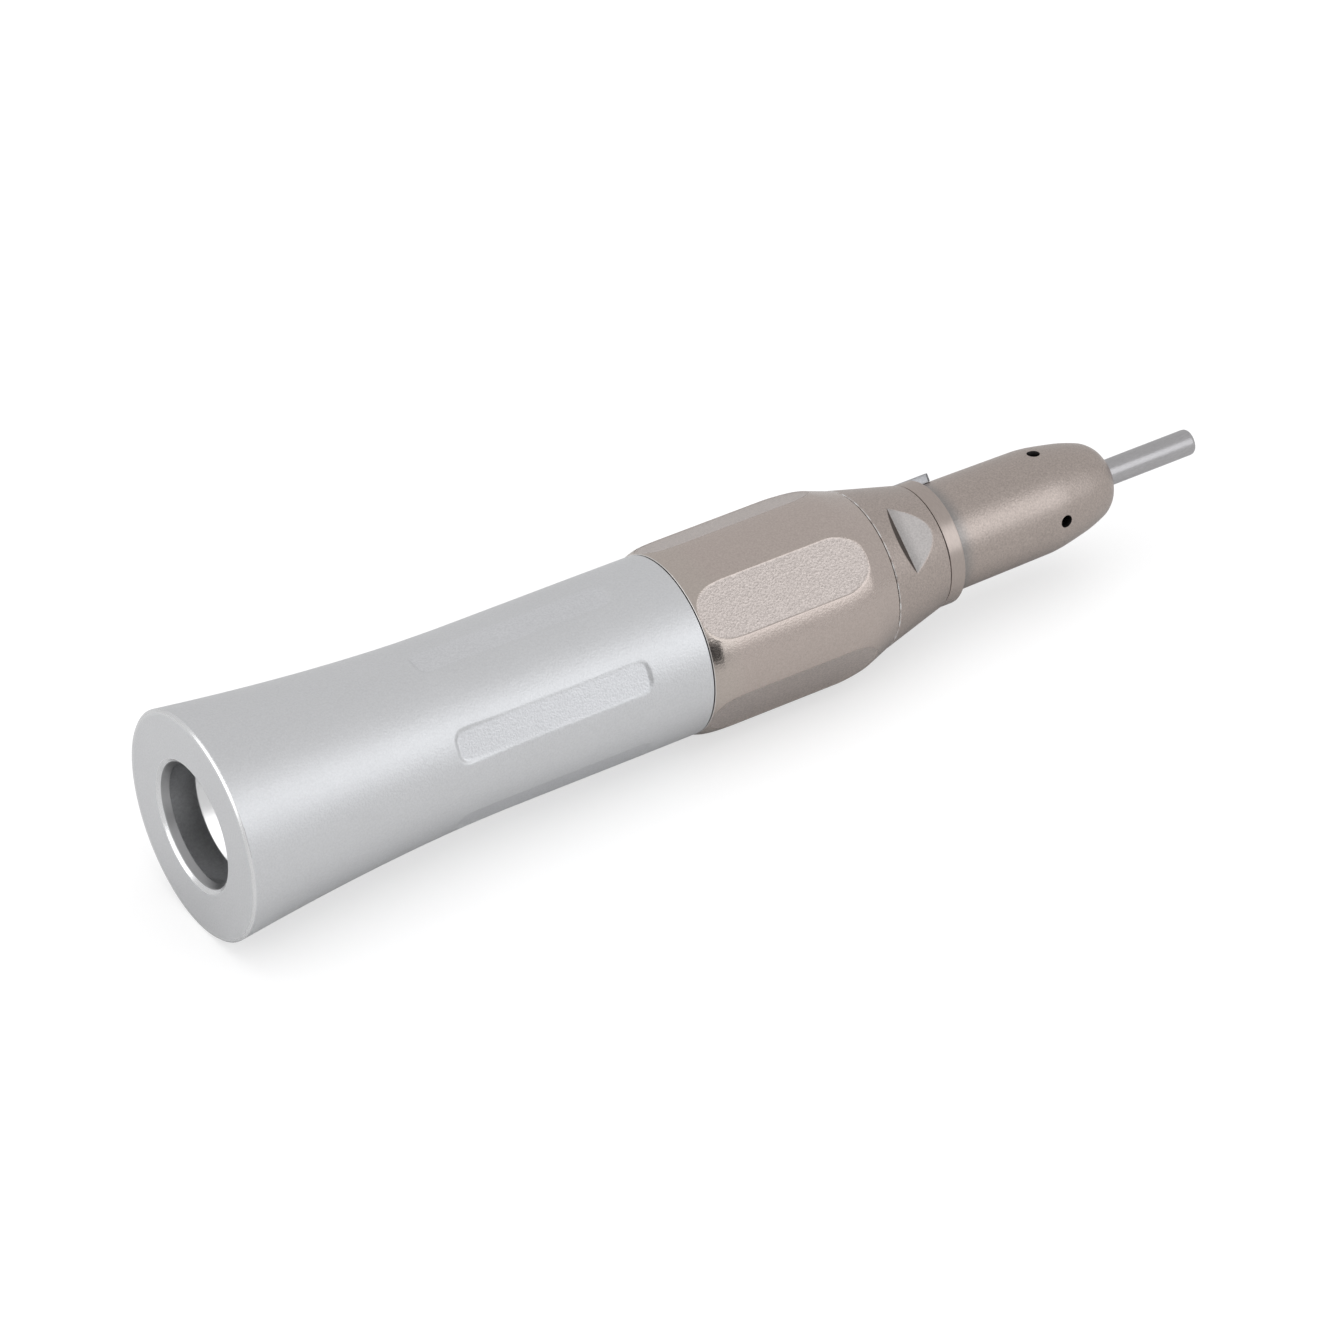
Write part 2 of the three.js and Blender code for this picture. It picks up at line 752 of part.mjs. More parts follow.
function frontCollar() {
  const bore = CORE_RADIUS + SLIDE_GAP;
  const edge = 0.1;
  const ring = turned([
    [COLLAR_START, COLLAR_RADIUS - edge],
    [COLLAR_START + edge, COLLAR_RADIUS],
    [COLLAR_END - edge, COLLAR_RADIUS],
    [COLLAR_END, COLLAR_RADIUS - edge],
    [COLLAR_END, bore],
    [COLLAR_START, bore],
  ], OUTER_SEGMENTS, FACET_ANGLE);
  const notchWidth = LUG_WIDTH + 2 * SLIDE_GAP;
  return ring.subtract(block(4, notchWidth, THROUGH, COLLAR_START + 1, COLLAR_RADIUS, LUG_ANGLE));
}

// The steel key that stands in the collar's notch and reaches forward over the nose.
function locatingLug() {
  const start = 70.9;
  const end = 74.4;
  const corner = 0.4;
  const keyBottom = CORE_RADIUS + SLIDE_GAP;
  const side = LUG_WIDTH / 2;
  const plan = new THREE.Shape([
    new THREE.Vector2(start, -side),
    new THREE.Vector2(end - corner, -side),
    new THREE.Vector2(end, corner - side),
    new THREE.Vector2(end, side - corner),
    new THREE.Vector2(end - corner, side),
    new THREE.Vector2(start, side),
  ]);
  const tall = new THREE.ExtrudeGeometry(plan, { depth: THROUGH, bevelEnabled: false });
  const key = placed(tall, 0, keyBottom, LUG_ANGLE);
  const outside = turned([
    [start, 0],
    [start, COLLAR_RADIUS],
    [end, COLLAR_RADIUS],
    [end, 0],
  ], OUTER_SEGMENTS, FACET_ANGLE);
  return key.intersect(outside);
}

function noseCone() {
  const spigotStart = 68.5;
  const spigotRadius = 4.44;
  const shoulder = 82.9;
  const chamberEnd = 84.4;
  const cavityStart = 87;
  const cavityEnd = 89.5;
  const nutChamber = 3.75;
  const cavity = 2.45;
  const tipBore = 1.3;
  const cone = turned([
    [spigotStart, spigotRadius],
    [NOSE_START, spigotRadius],
    [NOSE_START, 4.83],
    [76, 4.79],
    [83.3, 4.7],
    [84.3, 4.6],
    [86.3, 4.24],
    [87.5, 4],
    [88.4, 3.72],
    [89.3, 3.38],
    [90.3, 2.36],
    [NOSE_END, 1.6],
    [NOSE_END, tipBore],
    [cavityEnd, tipBore],
    [cavityEnd, cavity],
    [cavityStart, cavity],
    [cavityStart, SEAL_SEAT],
    [chamberEnd, SEAL_SEAT],
    [chamberEnd, nutChamber],
    [shoulder, nutChamber],
    [shoulder, NOSE_SEAT],
    [spigotStart, NOSE_SEAT],
  ], OUTER_SEGMENTS, FACET_ANGLE);
  const holeStation = 83.67;
  const holeRadius = 0.55;
  const firstHole = -6.5;
  const holes = around(4, firstHole, (angle) => (
    radialPin(holeRadius, SEAL_SEAT + LOOSE_GAP, CORE_RADIUS, holeStation, angle)
  ));
  return cut(cone, holes);
}

function noseSeal() {
  const start = 85.4;
  const end = 86.8;
  const lip = SEAT_RADIUS + 0.11;
  return tube(start, end, lip, SEAL_SEAT - 0.06);
}

// ---- mandrel ----

function testMandrel() {
  const start = OVERALL_LENGTH - SHANK_LENGTH;
  const chamfer = 0.15;
  const rounding = 0.35;
  return turned([
    [start, 0],
    [start, SHANK_RADIUS - chamfer],
    [start + chamfer, SHANK_RADIUS],
    [OVERALL_LENGTH - rounding, SHANK_RADIUS],
    [OVERALL_LENGTH - 0.3 * rounding, SHANK_RADIUS - 0.3 * rounding],
    [OVERALL_LENGTH, SHANK_RADIUS - rounding],
    [OVERALL_LENGTH, 0],
  ]);
}

// ---- assembly ----

function piece(name, solid, material, station = 0) {
  const mesh = new THREE.Mesh(toGeometry(solid), material);
  mesh.name = name;
  mesh.position.x = station;
  return mesh;
}

function assembly(...pieces) {
  const group = new THREE.Group();
  group.add(...pieces);
  return group;
}

const bearings = [
  ['rear_bearing', REAR_BEARING],
  ['middle_bearing', MIDDLE_BEARING],
  ['front_bearing', FRONT_BEARING],
];
const outerRaceSolid = outerRace();
const innerRaceSolid = innerRace();
const ballCageSolid = ballCage();
const oRingRadius = 6.46;
const oRingThickness = 0.29;

const casing = assembly(
  piece('rear_sheath', rearSheath(), pearlAluminium),
  piece('coupling_tube', couplingTube(), polishedSteel),
  piece('body_core', bodyCore(), groundSteel),
  ...O_RING_STATIONS.map((station, i) => (
    piece(`sheath_o_ring_${i + 1}`, bead(station, oRingRadius, oRingThickness), blackRubber)
  )),
  piece('detent_spring', detentSpring(), springSteel),
  piece('rear_bearing_retainer', rearBearingRetainer(), groundSteel),
  ...bearings.map(([name, station]) => (
    piece(`${name}_outer_race`, outerRaceSolid, hardenedSteel, station)
  )),
  piece('outer_spacer', spacer(OUTER_RACE_BORE, BEARING_RADIUS), groundSteel),
  piece('preload_washer', preloadWasher(), springSteel),
  piece('bearing_retainer_nut', bearingRetainerNut(), groundSteel),
  piece('index_ring', indexRing(), champagneNickel),
  piece('front_collar', frontCollar(), champagneNickel),
  piece('locating_lug', locatingLug(), groundSteel),
  piece('nose_cone', noseCone(), champagneNickel),
  piece('nose_seal', noseSeal(), sealPolymer),
);

const chuckTurn = assembly(
  piece('chuck_ring', chuckRing(), champagneNickel),
  piece('cam_sleeve', camSleeve(), bronze),
);

const thrustSlide = assembly(
  piece('thrust_sleeve', thrustSleeve(), hardenedSteel),
  piece('thrust_washer', thrustWasher(), bronze),
  piece('cam_pin_left', camPin(CAM_PIN_ANGLES[1]), hardenedSteel),
  piece('cam_pin_right', camPin(CAM_PIN_ANGLES[0]), hardenedSteel),
);

const dogSpring = coilSpring({
  start: DOG_END + SLIDE_GAP,
  end: 26.15,
  radius: 1.92,
  wireRadius: 0.2,
  turns: 4,
});
const chuckSpring = coilSpring({
  start: DRAW_COLLAR_END + SLIDE_GAP,
  end: SPRING_SEAT - SLIDE_GAP,
  radius: 3.22,
  wireRadius: 0.4,
  turns: 6,
});
const rotor = assembly(
  piece('spindle', spindle(), groundSteel),
  ...bearings.map(([name, station]) => (
    piece(`${name}_inner_race`, innerRaceSolid, hardenedSteel, station)
  )),
  piece('inner_spacer', spacer(INNER_RACE_BORE, INNER_RACE_RADIUS), groundSteel),
  piece('front_lock_nut', frontLockNut(), groundSteel),
  piece('rear_circlip', rearCirclip(), springSteel),
  piece('dog_spring', dogSpring, springSteel),
  piece('chuck_spring', chuckSpring, springSteel),
);

const dogSlide = assembly(
  piece('drive_dog', driveDog(), hardenedSteel),
  piece('dog_pin', dogPin(), hardenedSteel),
);

const colletSlide = assembly(
  piece('collet', collet(), hardenedSteel),
  piece('draw_collar', drawCollar(), groundSteel),
  piece('cross_pin', colletPin(), hardenedSteel),
);

const ballSets = assembly(...bearings.map(([name, station]) => (
  piece(`${name}_balls`, ballCageSolid, hardenedSteel, station)
)));

const handpiece = assembly(
  casing,
  chuckTurn,
  thrustSlide,
  rotor,
  dogSlide,
  colletSlide,
  ballSets,
  piece('detent_ball', detentBall(), hardenedSteel),
  piece('test_mandrel', testMandrel(), polishedSteel),
);

// The origin is under the middle of the part, on the surface that it lies on.
handpiece.position.set(-OVERALL_LENGTH / 2, 0, REAR_RADIUS);

export default assembly(handpiece);
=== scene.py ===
"""Looks for the straight nose-cone handpiece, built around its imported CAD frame.

Shapes are worked out in millimetres along the handpiece's own axis. A station is the
distance from the rear face, and an angle about the axis starts at the top and grows
toward the camera's side (-Y). Everything becomes metres in the row frame when meshed.
"""

import json
import math

import bmesh
import bpy
import numpy as np
from mathutils import Matrix, Vector

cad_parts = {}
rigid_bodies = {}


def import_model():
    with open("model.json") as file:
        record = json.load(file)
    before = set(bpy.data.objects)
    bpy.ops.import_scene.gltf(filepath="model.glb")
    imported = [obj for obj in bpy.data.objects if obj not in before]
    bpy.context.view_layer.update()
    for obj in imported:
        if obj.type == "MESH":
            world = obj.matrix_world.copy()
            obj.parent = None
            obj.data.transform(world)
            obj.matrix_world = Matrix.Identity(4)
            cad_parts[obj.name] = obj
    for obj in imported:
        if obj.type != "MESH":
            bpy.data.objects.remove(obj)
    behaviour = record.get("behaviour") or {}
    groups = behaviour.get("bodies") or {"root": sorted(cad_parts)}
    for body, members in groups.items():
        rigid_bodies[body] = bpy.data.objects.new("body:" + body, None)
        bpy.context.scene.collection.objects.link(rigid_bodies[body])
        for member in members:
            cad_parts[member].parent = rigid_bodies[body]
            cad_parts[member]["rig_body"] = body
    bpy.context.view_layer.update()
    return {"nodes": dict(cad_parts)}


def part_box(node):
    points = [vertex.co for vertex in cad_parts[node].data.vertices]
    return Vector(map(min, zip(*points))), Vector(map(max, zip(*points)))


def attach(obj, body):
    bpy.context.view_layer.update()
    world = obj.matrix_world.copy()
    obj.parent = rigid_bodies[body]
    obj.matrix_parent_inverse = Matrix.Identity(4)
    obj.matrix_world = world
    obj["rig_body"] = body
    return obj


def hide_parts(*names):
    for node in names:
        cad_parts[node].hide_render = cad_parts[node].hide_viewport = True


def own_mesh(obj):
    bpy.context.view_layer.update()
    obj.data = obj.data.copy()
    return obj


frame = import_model()

MM = 0.001
LENGTH = 100.3
AXIS_HEIGHT = 10.0


# ---- camera, as the first thing made ----

CAMERA_LENS = 161.8
CAMERA_PLACE = Vector((-0.22709, -0.33891, 0.30521))
CAMERA_RIGHT = Vector((0.83582, -0.54901, 0.0))
CAMERA_FORWARD = Vector((0.44251, 0.67368, -0.59190))


def add_camera():
    data = bpy.data.cameras.new("camera")
    data.sensor_width = 36.0
    data.lens = CAMERA_LENS
    data.clip_start = 0.01
    data.clip_end = 20.0
    camera = bpy.data.objects.new("camera", data)
    up = CAMERA_RIGHT.cross(CAMERA_FORWARD)
    turn = Matrix((CAMERA_RIGHT, up, -CAMERA_FORWARD)).transposed()
    camera.matrix_world = Matrix.Translation(CAMERA_PLACE) @ turn.to_4x4()
    bpy.context.scene.collection.objects.link(camera)
    bpy.context.scene.camera = camera


add_camera()


# ---- node materials ----


class Nodes:
    """A short way to wire a material's node tree."""

    def __init__(self, name):
        self.material = bpy.data.materials.new(name)
        self.material.use_nodes = True
        self.tree = self.material.node_tree
        self.tree.nodes.clear()
        self.place = self.add("ShaderNodeTexCoord").outputs["Object"]

    def add(self, kind, settings=None, **inputs):
        node = self.tree.nodes.new(kind)
        for key, value in (settings or {}).items():
            setattr(node, key, value)
        for key, value in inputs.items():
            self.feed(node.inputs[key.replace("_", " ")], value)
        return node

    def feed(self, socket, value):
        if isinstance(value, bpy.types.NodeSocket):
            self.tree.links.new(value, socket)
        else:
            socket.default_value = value

    def noise(self, size, detail=2.0, stretch=(1.0, 1.0, 1.0)):
        """Smooth noise from 0 to 1 whose features are about size millimetres across."""
        place = self.place
        if stretch != (1.0, 1.0, 1.0):
            mapping = self.add("ShaderNodeMapping", Vector=place, Scale=stretch)
            place = mapping.outputs["Vector"]
        texture = self.add("ShaderNodeTexNoise", Vector=place, Scale=1 / (size * MM), Detail=detail)
        return texture.outputs["Fac"]

    def spread(self, value, low, high, start=0.0, end=1.0):
        """Maps value from start..end to low..high."""
        node = self.add("ShaderNodeMapRange", {"clamp": True})
        keys = ("Value", "From Min", "From Max", "To Min", "To Max")
        for key, number in zip(keys, (value, start, end, low, high)):
            self.feed(node.inputs[key], number)
        return node.outputs["Result"]

    def mix(self, share, first, second):
        node = self.add("ShaderNodeMix", {"data_type": "RGBA"})
        self.feed(node.inputs["Factor"], share)
        self.feed(node.inputs["A"], first)
        self.feed(node.inputs["B"], second)
        return node.outputs["Result"]

    def math(self, operation, first, second):
        node = self.add("ShaderNodeMath", {"operation": operation})
        self.feed(node.inputs[0], first)
        self.feed(node.inputs[1], second)
        return node.outputs["Value"]

    def attribute(self, name):
        return self.add("ShaderNodeAttribute", {"attribute_name": name}).outputs["Fac"]

    def relief(self, height, depth):
        """The normal of a surface whose height from 0 to 1 is depth millimetres."""
        scaled = self.math("MULTIPLY", height, depth)
        bump = self.add("ShaderNodeBump", Height=scaled, Strength=1.0, Distance=MM)
        return bump.outputs["Normal"]

    def finished(self, shader):
        """Ends the tree with a shader's output, and gives back the material."""
        self.add("ShaderNodeOutputMaterial", Surface=shader.outputs[0])
        return self.material


def rgba(colour, gain=1.0):
    return tuple(channel * gain for channel in colour) + (1.0,)


def metal(name, colour, roughness, grain, depth, speckle, stretch=(1.0, 1.0, 1.0), zones=()):
    """Satin metal: fine blasted or brushed grain and faint cloudy patches.

    Grain is the grain's size and depth its height, in millimetres, and speckle is how
    far it changes the colour. Each zone is (attribute, colour, roughness, depth,
    speckle): a finish, painted shade, or a polish with a painted highlight, that takes
    over where the mesh carries that mark.
    """
    n = Nodes(name)
    fine = n.noise(grain, 3.0, stretch)
    contrast = n.spread(fine, 0.0, 1.0, 0.3, 0.7)
    cloud = n.noise(6.0)
    base = n.mix(contrast, rgba(colour, 1 - speckle), rgba(colour, 1 + speckle))
    rough = roughness
    deep = depth
    for mark, zone_colour, zone_roughness, zone_depth, zone_speckle in zones:
        share = n.attribute(mark)
        dull, bright = rgba(zone_colour, 1 - zone_speckle), rgba(zone_colour, 1 + zone_speckle)
        base = n.mix(share, base, n.mix(contrast, dull, bright))
        rough = n.spread(share, rough, zone_roughness)
        deep = n.spread(share, deep, zone_depth)
    base = n.mix(n.spread(cloud, 0.0, 0.05, 0.35, 0.65), base, rgba(colour, 1.25))
    rough = n.math("ADD", rough, n.spread(cloud, -0.02, 0.02, 0.3, 0.7))
    shader = n.add("ShaderNodeBsdfPrincipled", Base_Color=base, Metallic=1.0, Roughness=rough)
    n.feed(shader.inputs["Normal"], n.relief(fine, deep))
    return n.finished(shader)


def matt(name, colour, roughness, grain, depth):
    """Rubber or plastic: faintly mottled, with a fine moulded or turned texture."""
    n = Nodes(name)
    fine = n.noise(grain, 3.0)
    base = n.mix(n.noise(3.0), rgba(colour, 0.85), rgba(colour, 1.15))
    rough = n.spread(fine, roughness - 0.06, roughness + 0.06)
    shader = n.add("ShaderNodeBsdfPrincipled", Base_Color=base, Roughness=rough)
    n.feed(shader.inputs["Normal"], n.relief(fine, depth))
    return n.finished(shader)


SILVER = (0.80, 0.805, 0.815)
GRIP = (0.60, 0.52, 0.475)
NOSE = (0.52, 0.45, 0.41)
BLASTED = (0.62, 0.555, 0.52)
# BRIGHT paints polished edges near-white: a painted highlight on top of their real polish.
BRIGHT = (0.95, 0.94, 0.93)

pearl = metal(
    "pearl_aluminium", SILVER, 0.46, grain=0.17, depth=0.025, speckle=0.04,
    zones=[
        ("flat", (0.82, 0.825, 0.84), 0.46, 0.03, 0.06),
        ("darker_in_bore", (0.42, 0.42, 0.425), 0.34, 0.001, 0.02),
        ("polish_and_highlight", (0.88, 0.885, 0.89), 0.26, 0.0, 0.0),
    ],
)
grip_nickel = metal(
    "champagne_grip", GRIP, 0.22, grain=0.17, depth=0.017, speckle=0.08,
    zones=[
        ("flat", BLASTED, 0.35, 0.038, 0.16),
        ("gloss", (0.60, 0.53, 0.48), 0.22, 0.011, 0.06),
        ("polish_and_highlight", BRIGHT, 0.2, 0.0, 0.0),
    ],
)
nose_nickel = metal(
    "champagne_nose", NOSE, 0.32, grain=0.15, depth=0.03, speckle=0.15,
    zones=[
        ("flat", (0.57, 0.54, 0.525), 0.36, 0.013, 0.1),
        # The two darker zones below are painted shade: next to the collar, and on the notches' rear walls
        # and the floor beside them.
        ("shade", (0.35, 0.335, 0.325), 0.36, 0.013, 0.1),
        ("shaded_wall", (0.10, 0.075, 0.06), 0.4, 0.01, 0.3),
        ("polish_and_highlight", BRIGHT, 0.2, 0.0, 0.0),
    ],
)
turned_nickel = metal(
    "champagne_turned", NOSE, 0.29, grain=0.3, depth=0.006, speckle=0.06, stretch=(3.0, 0.7, 0.7),
    zones=[("polish_and_highlight", BRIGHT, 0.2, 0.0, 0.0)],
)
ground_steel = metal("ground_steel", (0.55, 0.55, 0.555), 0.3, grain=0.3, depth=0.002, speckle=0.04)
lug_steel = metal(
    "lug_steel", (0.52, 0.52, 0.535), 0.42, grain=0.2, depth=0.015, speckle=0.12,
    # The zone below paints the lug's front end darker as painted shade.
    zones=[("shade", (0.26, 0.26, 0.28), 0.45, 0.015, 0.12)],
)
shank_steel = metal(
    "shank_steel", (0.52, 0.51, 0.515), 0.31, grain=0.4, depth=0.006, speckle=0.06, stretch=(1.0, 4.0, 4.0),
)
socket_steel = metal(
    "socket_steel", (0.37, 0.375, 0.385), 0.4, grain=0.2, depth=0.008, speckle=0.1,
    zones=[("polish_and_highlight", (0.9, 0.9, 0.9), 0.3, 0.0, 0.0)],
)
# Near-black walls of drilled holes and slots: painted shade in the recesses.
hole_shade = metal("painted_hole_shade", (0.06, 0.055, 0.055), 0.5, grain=0.1, depth=0.002, speckle=0.1)
hardened_steel = metal("hardened_steel", (0.56, 0.56, 0.575), 0.18, grain=0.25, depth=0.002, speckle=0.04)
spring_steel = metal("spring_steel", (0.42, 0.42, 0.43), 0.28, grain=0.15, depth=0.004, speckle=0.1)
bronze = metal("bronze", (0.62, 0.4, 0.2), 0.3, grain=0.2, depth=0.004, speckle=0.08)
rubber = matt("black_rubber", (0.02, 0.02, 0.021), 0.6, 0.12, 0.006)
polymer = matt("seal_polymer", (0.75, 0.72, 0.64), 0.42, 0.2, 0.004)


# ---- meshes of revolution ----

FILLET_STEPS = 4


def outline(corners, step):
    """Points along a closed profile of (station, radius, fillet[, step]) corners.

    Each corner is rounded by its fillet, and the run that leaves it is cut to step.
    """
    count = len(corners)
    points = []
    ends = []
    for i in range(count):
        corner = np.array(corners[i][:2], float)
        back = np.array(corners[i - 1][:2], float) - corner
        ahead = np.array(corners[(i + 1) % count][:2], float) - corner
        reach = min(corners[i][2], 0.45 * np.hypot(*back), 0.45 * np.hypot(*ahead))
        if reach <= 0:
            ends.append([corner])
            continue
        start = corner + back / np.hypot(*back) * reach
        stop = corner + ahead / np.hypot(*ahead) * reach
        shares = np.linspace(0, 1, FILLET_STEPS + 1)[:, None]
        arc = (1 - shares) ** 2 * start + 2 * shares * (1 - shares) * corner + shares**2 * stop
        ends.append(list(arc))
    for i in range(count):
        points.extend(ends[i])
        start, stop = ends[i][-1], ends[(i + 1) % count][0]
        run = np.hypot(*(stop - start))
        spacing = corners[i][3] if len(corners[i]) > 3 else step
        pad = min(0.06, run / 4)
        pieces = max(1, math.ceil((run - 2 * pad) / spacing))
        shares = np.linspace(pad / run, 1 - pad / run, pieces + 1) if run > 0 else []
        points.extend(start + (stop - start) * share for share in shares)
    return np.array(points)


def revolve(points, angles, shape=None):
    """A closed mesh from a profile and angles in degrees. shape gets the grids of
    stations, radii and angles, and gives back new radii and a dict of marks."""
    clockwise = np.sum(points[:, 0] * np.roll(points[:, 1], -1) - points[:, 1] * np.roll(points[:, 0], -1))
    if clockwise > 0:
        points = points[::-1]
    station, angle = np.meshgrid(points[:, 0], np.radians(angles), indexing="ij")
    radius = np.repeat(points[:, 1][:, None], len(angles), axis=1)
    marks = {}
    if shape:
        radius, marks = shape(station, radius, angle)
    rows, columns = radius.shape
    corner = np.arange(rows * columns).reshape(rows, columns)
    across = np.roll(corner, -1, axis=1)
    quads = np.stack([corner, across, np.roll(across, -1, axis=0), np.roll(corner, -1, axis=0)], -1)
    return lift(station, radius, angle), quads.reshape(-1, 4), marks


def lift(station, radius, angle):
    """Row-frame points in metres from stations, radii and angles in radians."""
    place = (station - LENGTH / 2, -radius * np.sin(angle), AXIS_HEIGHT + radius * np.cos(angle))
    return np.stack(place, -1).reshape(-1, 3) * MM


def piece(name, mesh_data, material, node, sharp=None):
    """Makes an object from (points, faces, marks) that stands for a CAD node."""
    points, faces, marks = mesh_data
    mesh = bpy.data.meshes.new(name)
    mesh.from_pydata(points.tolist(), [], faces.tolist())
    for mark, values in marks.items():
        attribute = mesh.attributes.new(mark, "FLOAT", "POINT")
        attribute.data.foreach_set("value", values.ravel().astype(np.float32))
    work = bmesh.new()
    work.from_mesh(mesh)
    bmesh.ops.remove_doubles(work, verts=work.verts, dist=1e-7)
    bmesh.ops.dissolve_degenerate(work, edges=work.edges, dist=1e-8)
    work.to_mesh(mesh)
    work.free()
    return finish_piece(name, mesh, material, node, sharp)


def finish_piece(name, mesh, material, node, sharp=None):
    """Puts the mesh on the node's body and in its material slot, in place of the node."""
    mesh.name = name
    mesh.shade_smooth()
    if sharp is not None:
        mesh.set_sharp_from_angle(angle=math.radians(sharp))
    mesh.materials.append(material)
    made = bpy.data.objects.new(name, mesh)
    bpy.context.scene.collection.objects.link(made)
    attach(made, frame["nodes"][node]["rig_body"])
    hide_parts(node)
    return made


def turn_from(angle, centre):
    """Signed difference from centre (degrees) to angle (radians), wrapped to a half turn."""
    return (angle - math.radians(centre) + math.pi) % (2 * math.pi) - math.pi


def soft_least(first, second, blend):
    """The smaller of two surfaces, with the crease between them rounded over blend."""
    share = np.clip(0.5 + 0.5 * (second - first) / blend, 0, 1)
    return second * (1 - share) + first * share - blend * share * (1 - share)


def smooth(low, high, value):
    share = np.clip((value - low) / (high - low), 0, 1)
    return share * share * (3 - 2 * share)


def even(count):
    return np.linspace(0, 360, count, endpoint=False)


def gathered(centres, half_width, fine, coarse):
    """Angles once round, spaced fine within half_width of each centre and coarse between."""
    angles = []
    ordered = sorted(centre % 360 for centre in centres)
    for i, centre in enumerate(ordered):
        following = ordered[(i + 1) % len(ordered)] + (360 if i + 1 == len(ordered) else 0)
        inside = round(2 * half_width / fine)
        angles.extend(np.linspace(centre - half_width, centre + half_width, inside, endpoint=False))
        gap = following - centre - 2 * half_width
        between = max(1, round(gap / coarse))
        angles.extend(np.linspace(centre + half_width, following - half_width, between, endpoint=False))
    return np.array(angles)


def placed(work, station, angle):
    """A mesh from a bmesh made in millimetres about the origin, moved out to a station
    and turned about the axis, with its own +Z pointing out at that angle."""
    turn = Matrix.Rotation(math.radians(angle), 4, "X")
    for vert in work.verts:
        turned = turn @ vert.co
        vert.co = Vector((turned.x + station - LENGTH / 2, turned.y, turned.z + AXIS_HEIGHT)) * MM
    bmesh.ops.recalc_face_normals(work, faces=work.faces)
    mesh = bpy.data.meshes.new("solid")
    work.to_mesh(mesh)
    work.free()
    return mesh


def join_rings(work, rings):
    """Faces from each ring of vertices to the next."""
    for low, high in zip(rings, rings[1:]):
        for k in range(len(low)):
            after = (k + 1) % len(low)
            work.faces.new((low[k], low[after], high[after], high[k]))


def spun(profile, sides=40):
    """A solid turned about +Z from (reach, height) pairs that begin and end at reach 0."""
    work = bmesh.new()
    turns = [2 * math.pi * k / sides for k in range(sides)]
    rings = []
    for reach, height in profile:
        ring = [(reach * math.cos(turn), reach * math.sin(turn), height) for turn in turns]
        rings.append([work.verts.new(place) for place in ring])
    join_rings(work, rings)
    bmesh.ops.remove_doubles(work, verts=work.verts, dist=1e-6)
    return work


def pin(radius, low, high, edge=0.06, sides=40):
    """A round pin along +Z with eased ends."""
    side = radius - edge
    profile = [(0, low), (side, low), (radius, low + edge)]
    profile += [(radius, high - edge), (side, high), (0, high)]
    return spun(profile, sides)


def bar(length, width, height, middle=0.0):
    """A box on the Z axis with its middle at that height."""
    work = bmesh.new()
    bmesh.ops.create_cube(work, size=1.0)
    for vert in work.verts:
        vert.co = Vector((vert.co.x * length, vert.co.y * width, vert.co.z * height + middle))
    return work


def arc_block(start, stop, station, climb, width, inner, outer):
    """A bar bent round the axis from start to stop degrees, which climbs on the way."""
    steps = round(abs(stop - start) / 2)
    work = bmesh.new()
    rings = []
    for i in range(steps + 1):
        share = i / steps
        turn = math.radians(start + (stop - start) * share)
        ring = []
        for aside, radius in ((-0.5, inner), (0.5, inner), (0.5, outer), (-0.5, outer)):
            along = station + climb * share + width * aside
            ring.append(work.verts.new((along, -radius * math.sin(turn), radius * math.cos(turn))))
        rings.append(ring)
    join_rings(work, rings)
    work.faces.new(rings[0])
    work.faces.new(rings[-1])
    return placed(work, 0.0, 0.0)


def drill(made, tools, material=None):
    """Cuts tool meshes out of a piece, and keeps the result as its mesh. The cut walls take the given
    material, or else near-black painted shade.
    """
    for tool in tools:
        tool.materials.append(material or hole_shade)
        cutter = bpy.data.objects.new("drill", tool)
        bpy.context.scene.collection.objects.link(cutter)
        modifier = made.modifiers.new("drill", "BOOLEAN")
        modifier.operation = "DIFFERENCE"
        modifier.solver = "EXACT"
        modifier.material_mode = "TRANSFER"
        modifier.object = cutter
        graph = bpy.context.evaluated_depsgraph_get()
        made.data = bpy.data.meshes.new_from_object(made.evaluated_get(graph))
        made.modifiers.clear()
        bpy.data.objects.remove(cutter)
    made.data.set_sharp_from_angle(angle=math.radians(35))


# ---- rear sheath ----

POCKET_START = 20.6
POCKET_END = 39.6
POCKET_HALF_WIDTH = 1.65
POCKET_CORNER = 1.2
POCKET_FLOOR = 7.79
POCKET_WALL = 0.45
POCKET_ANGLES = [3 + 60 * k for k in range(6)]


def flare(station):
    """The sheath's outer radius: a trumpet that settles to a straight grip."""
    return 7.95 + 2.05 * max(0.0, 1 - station / 26) ** 1.7


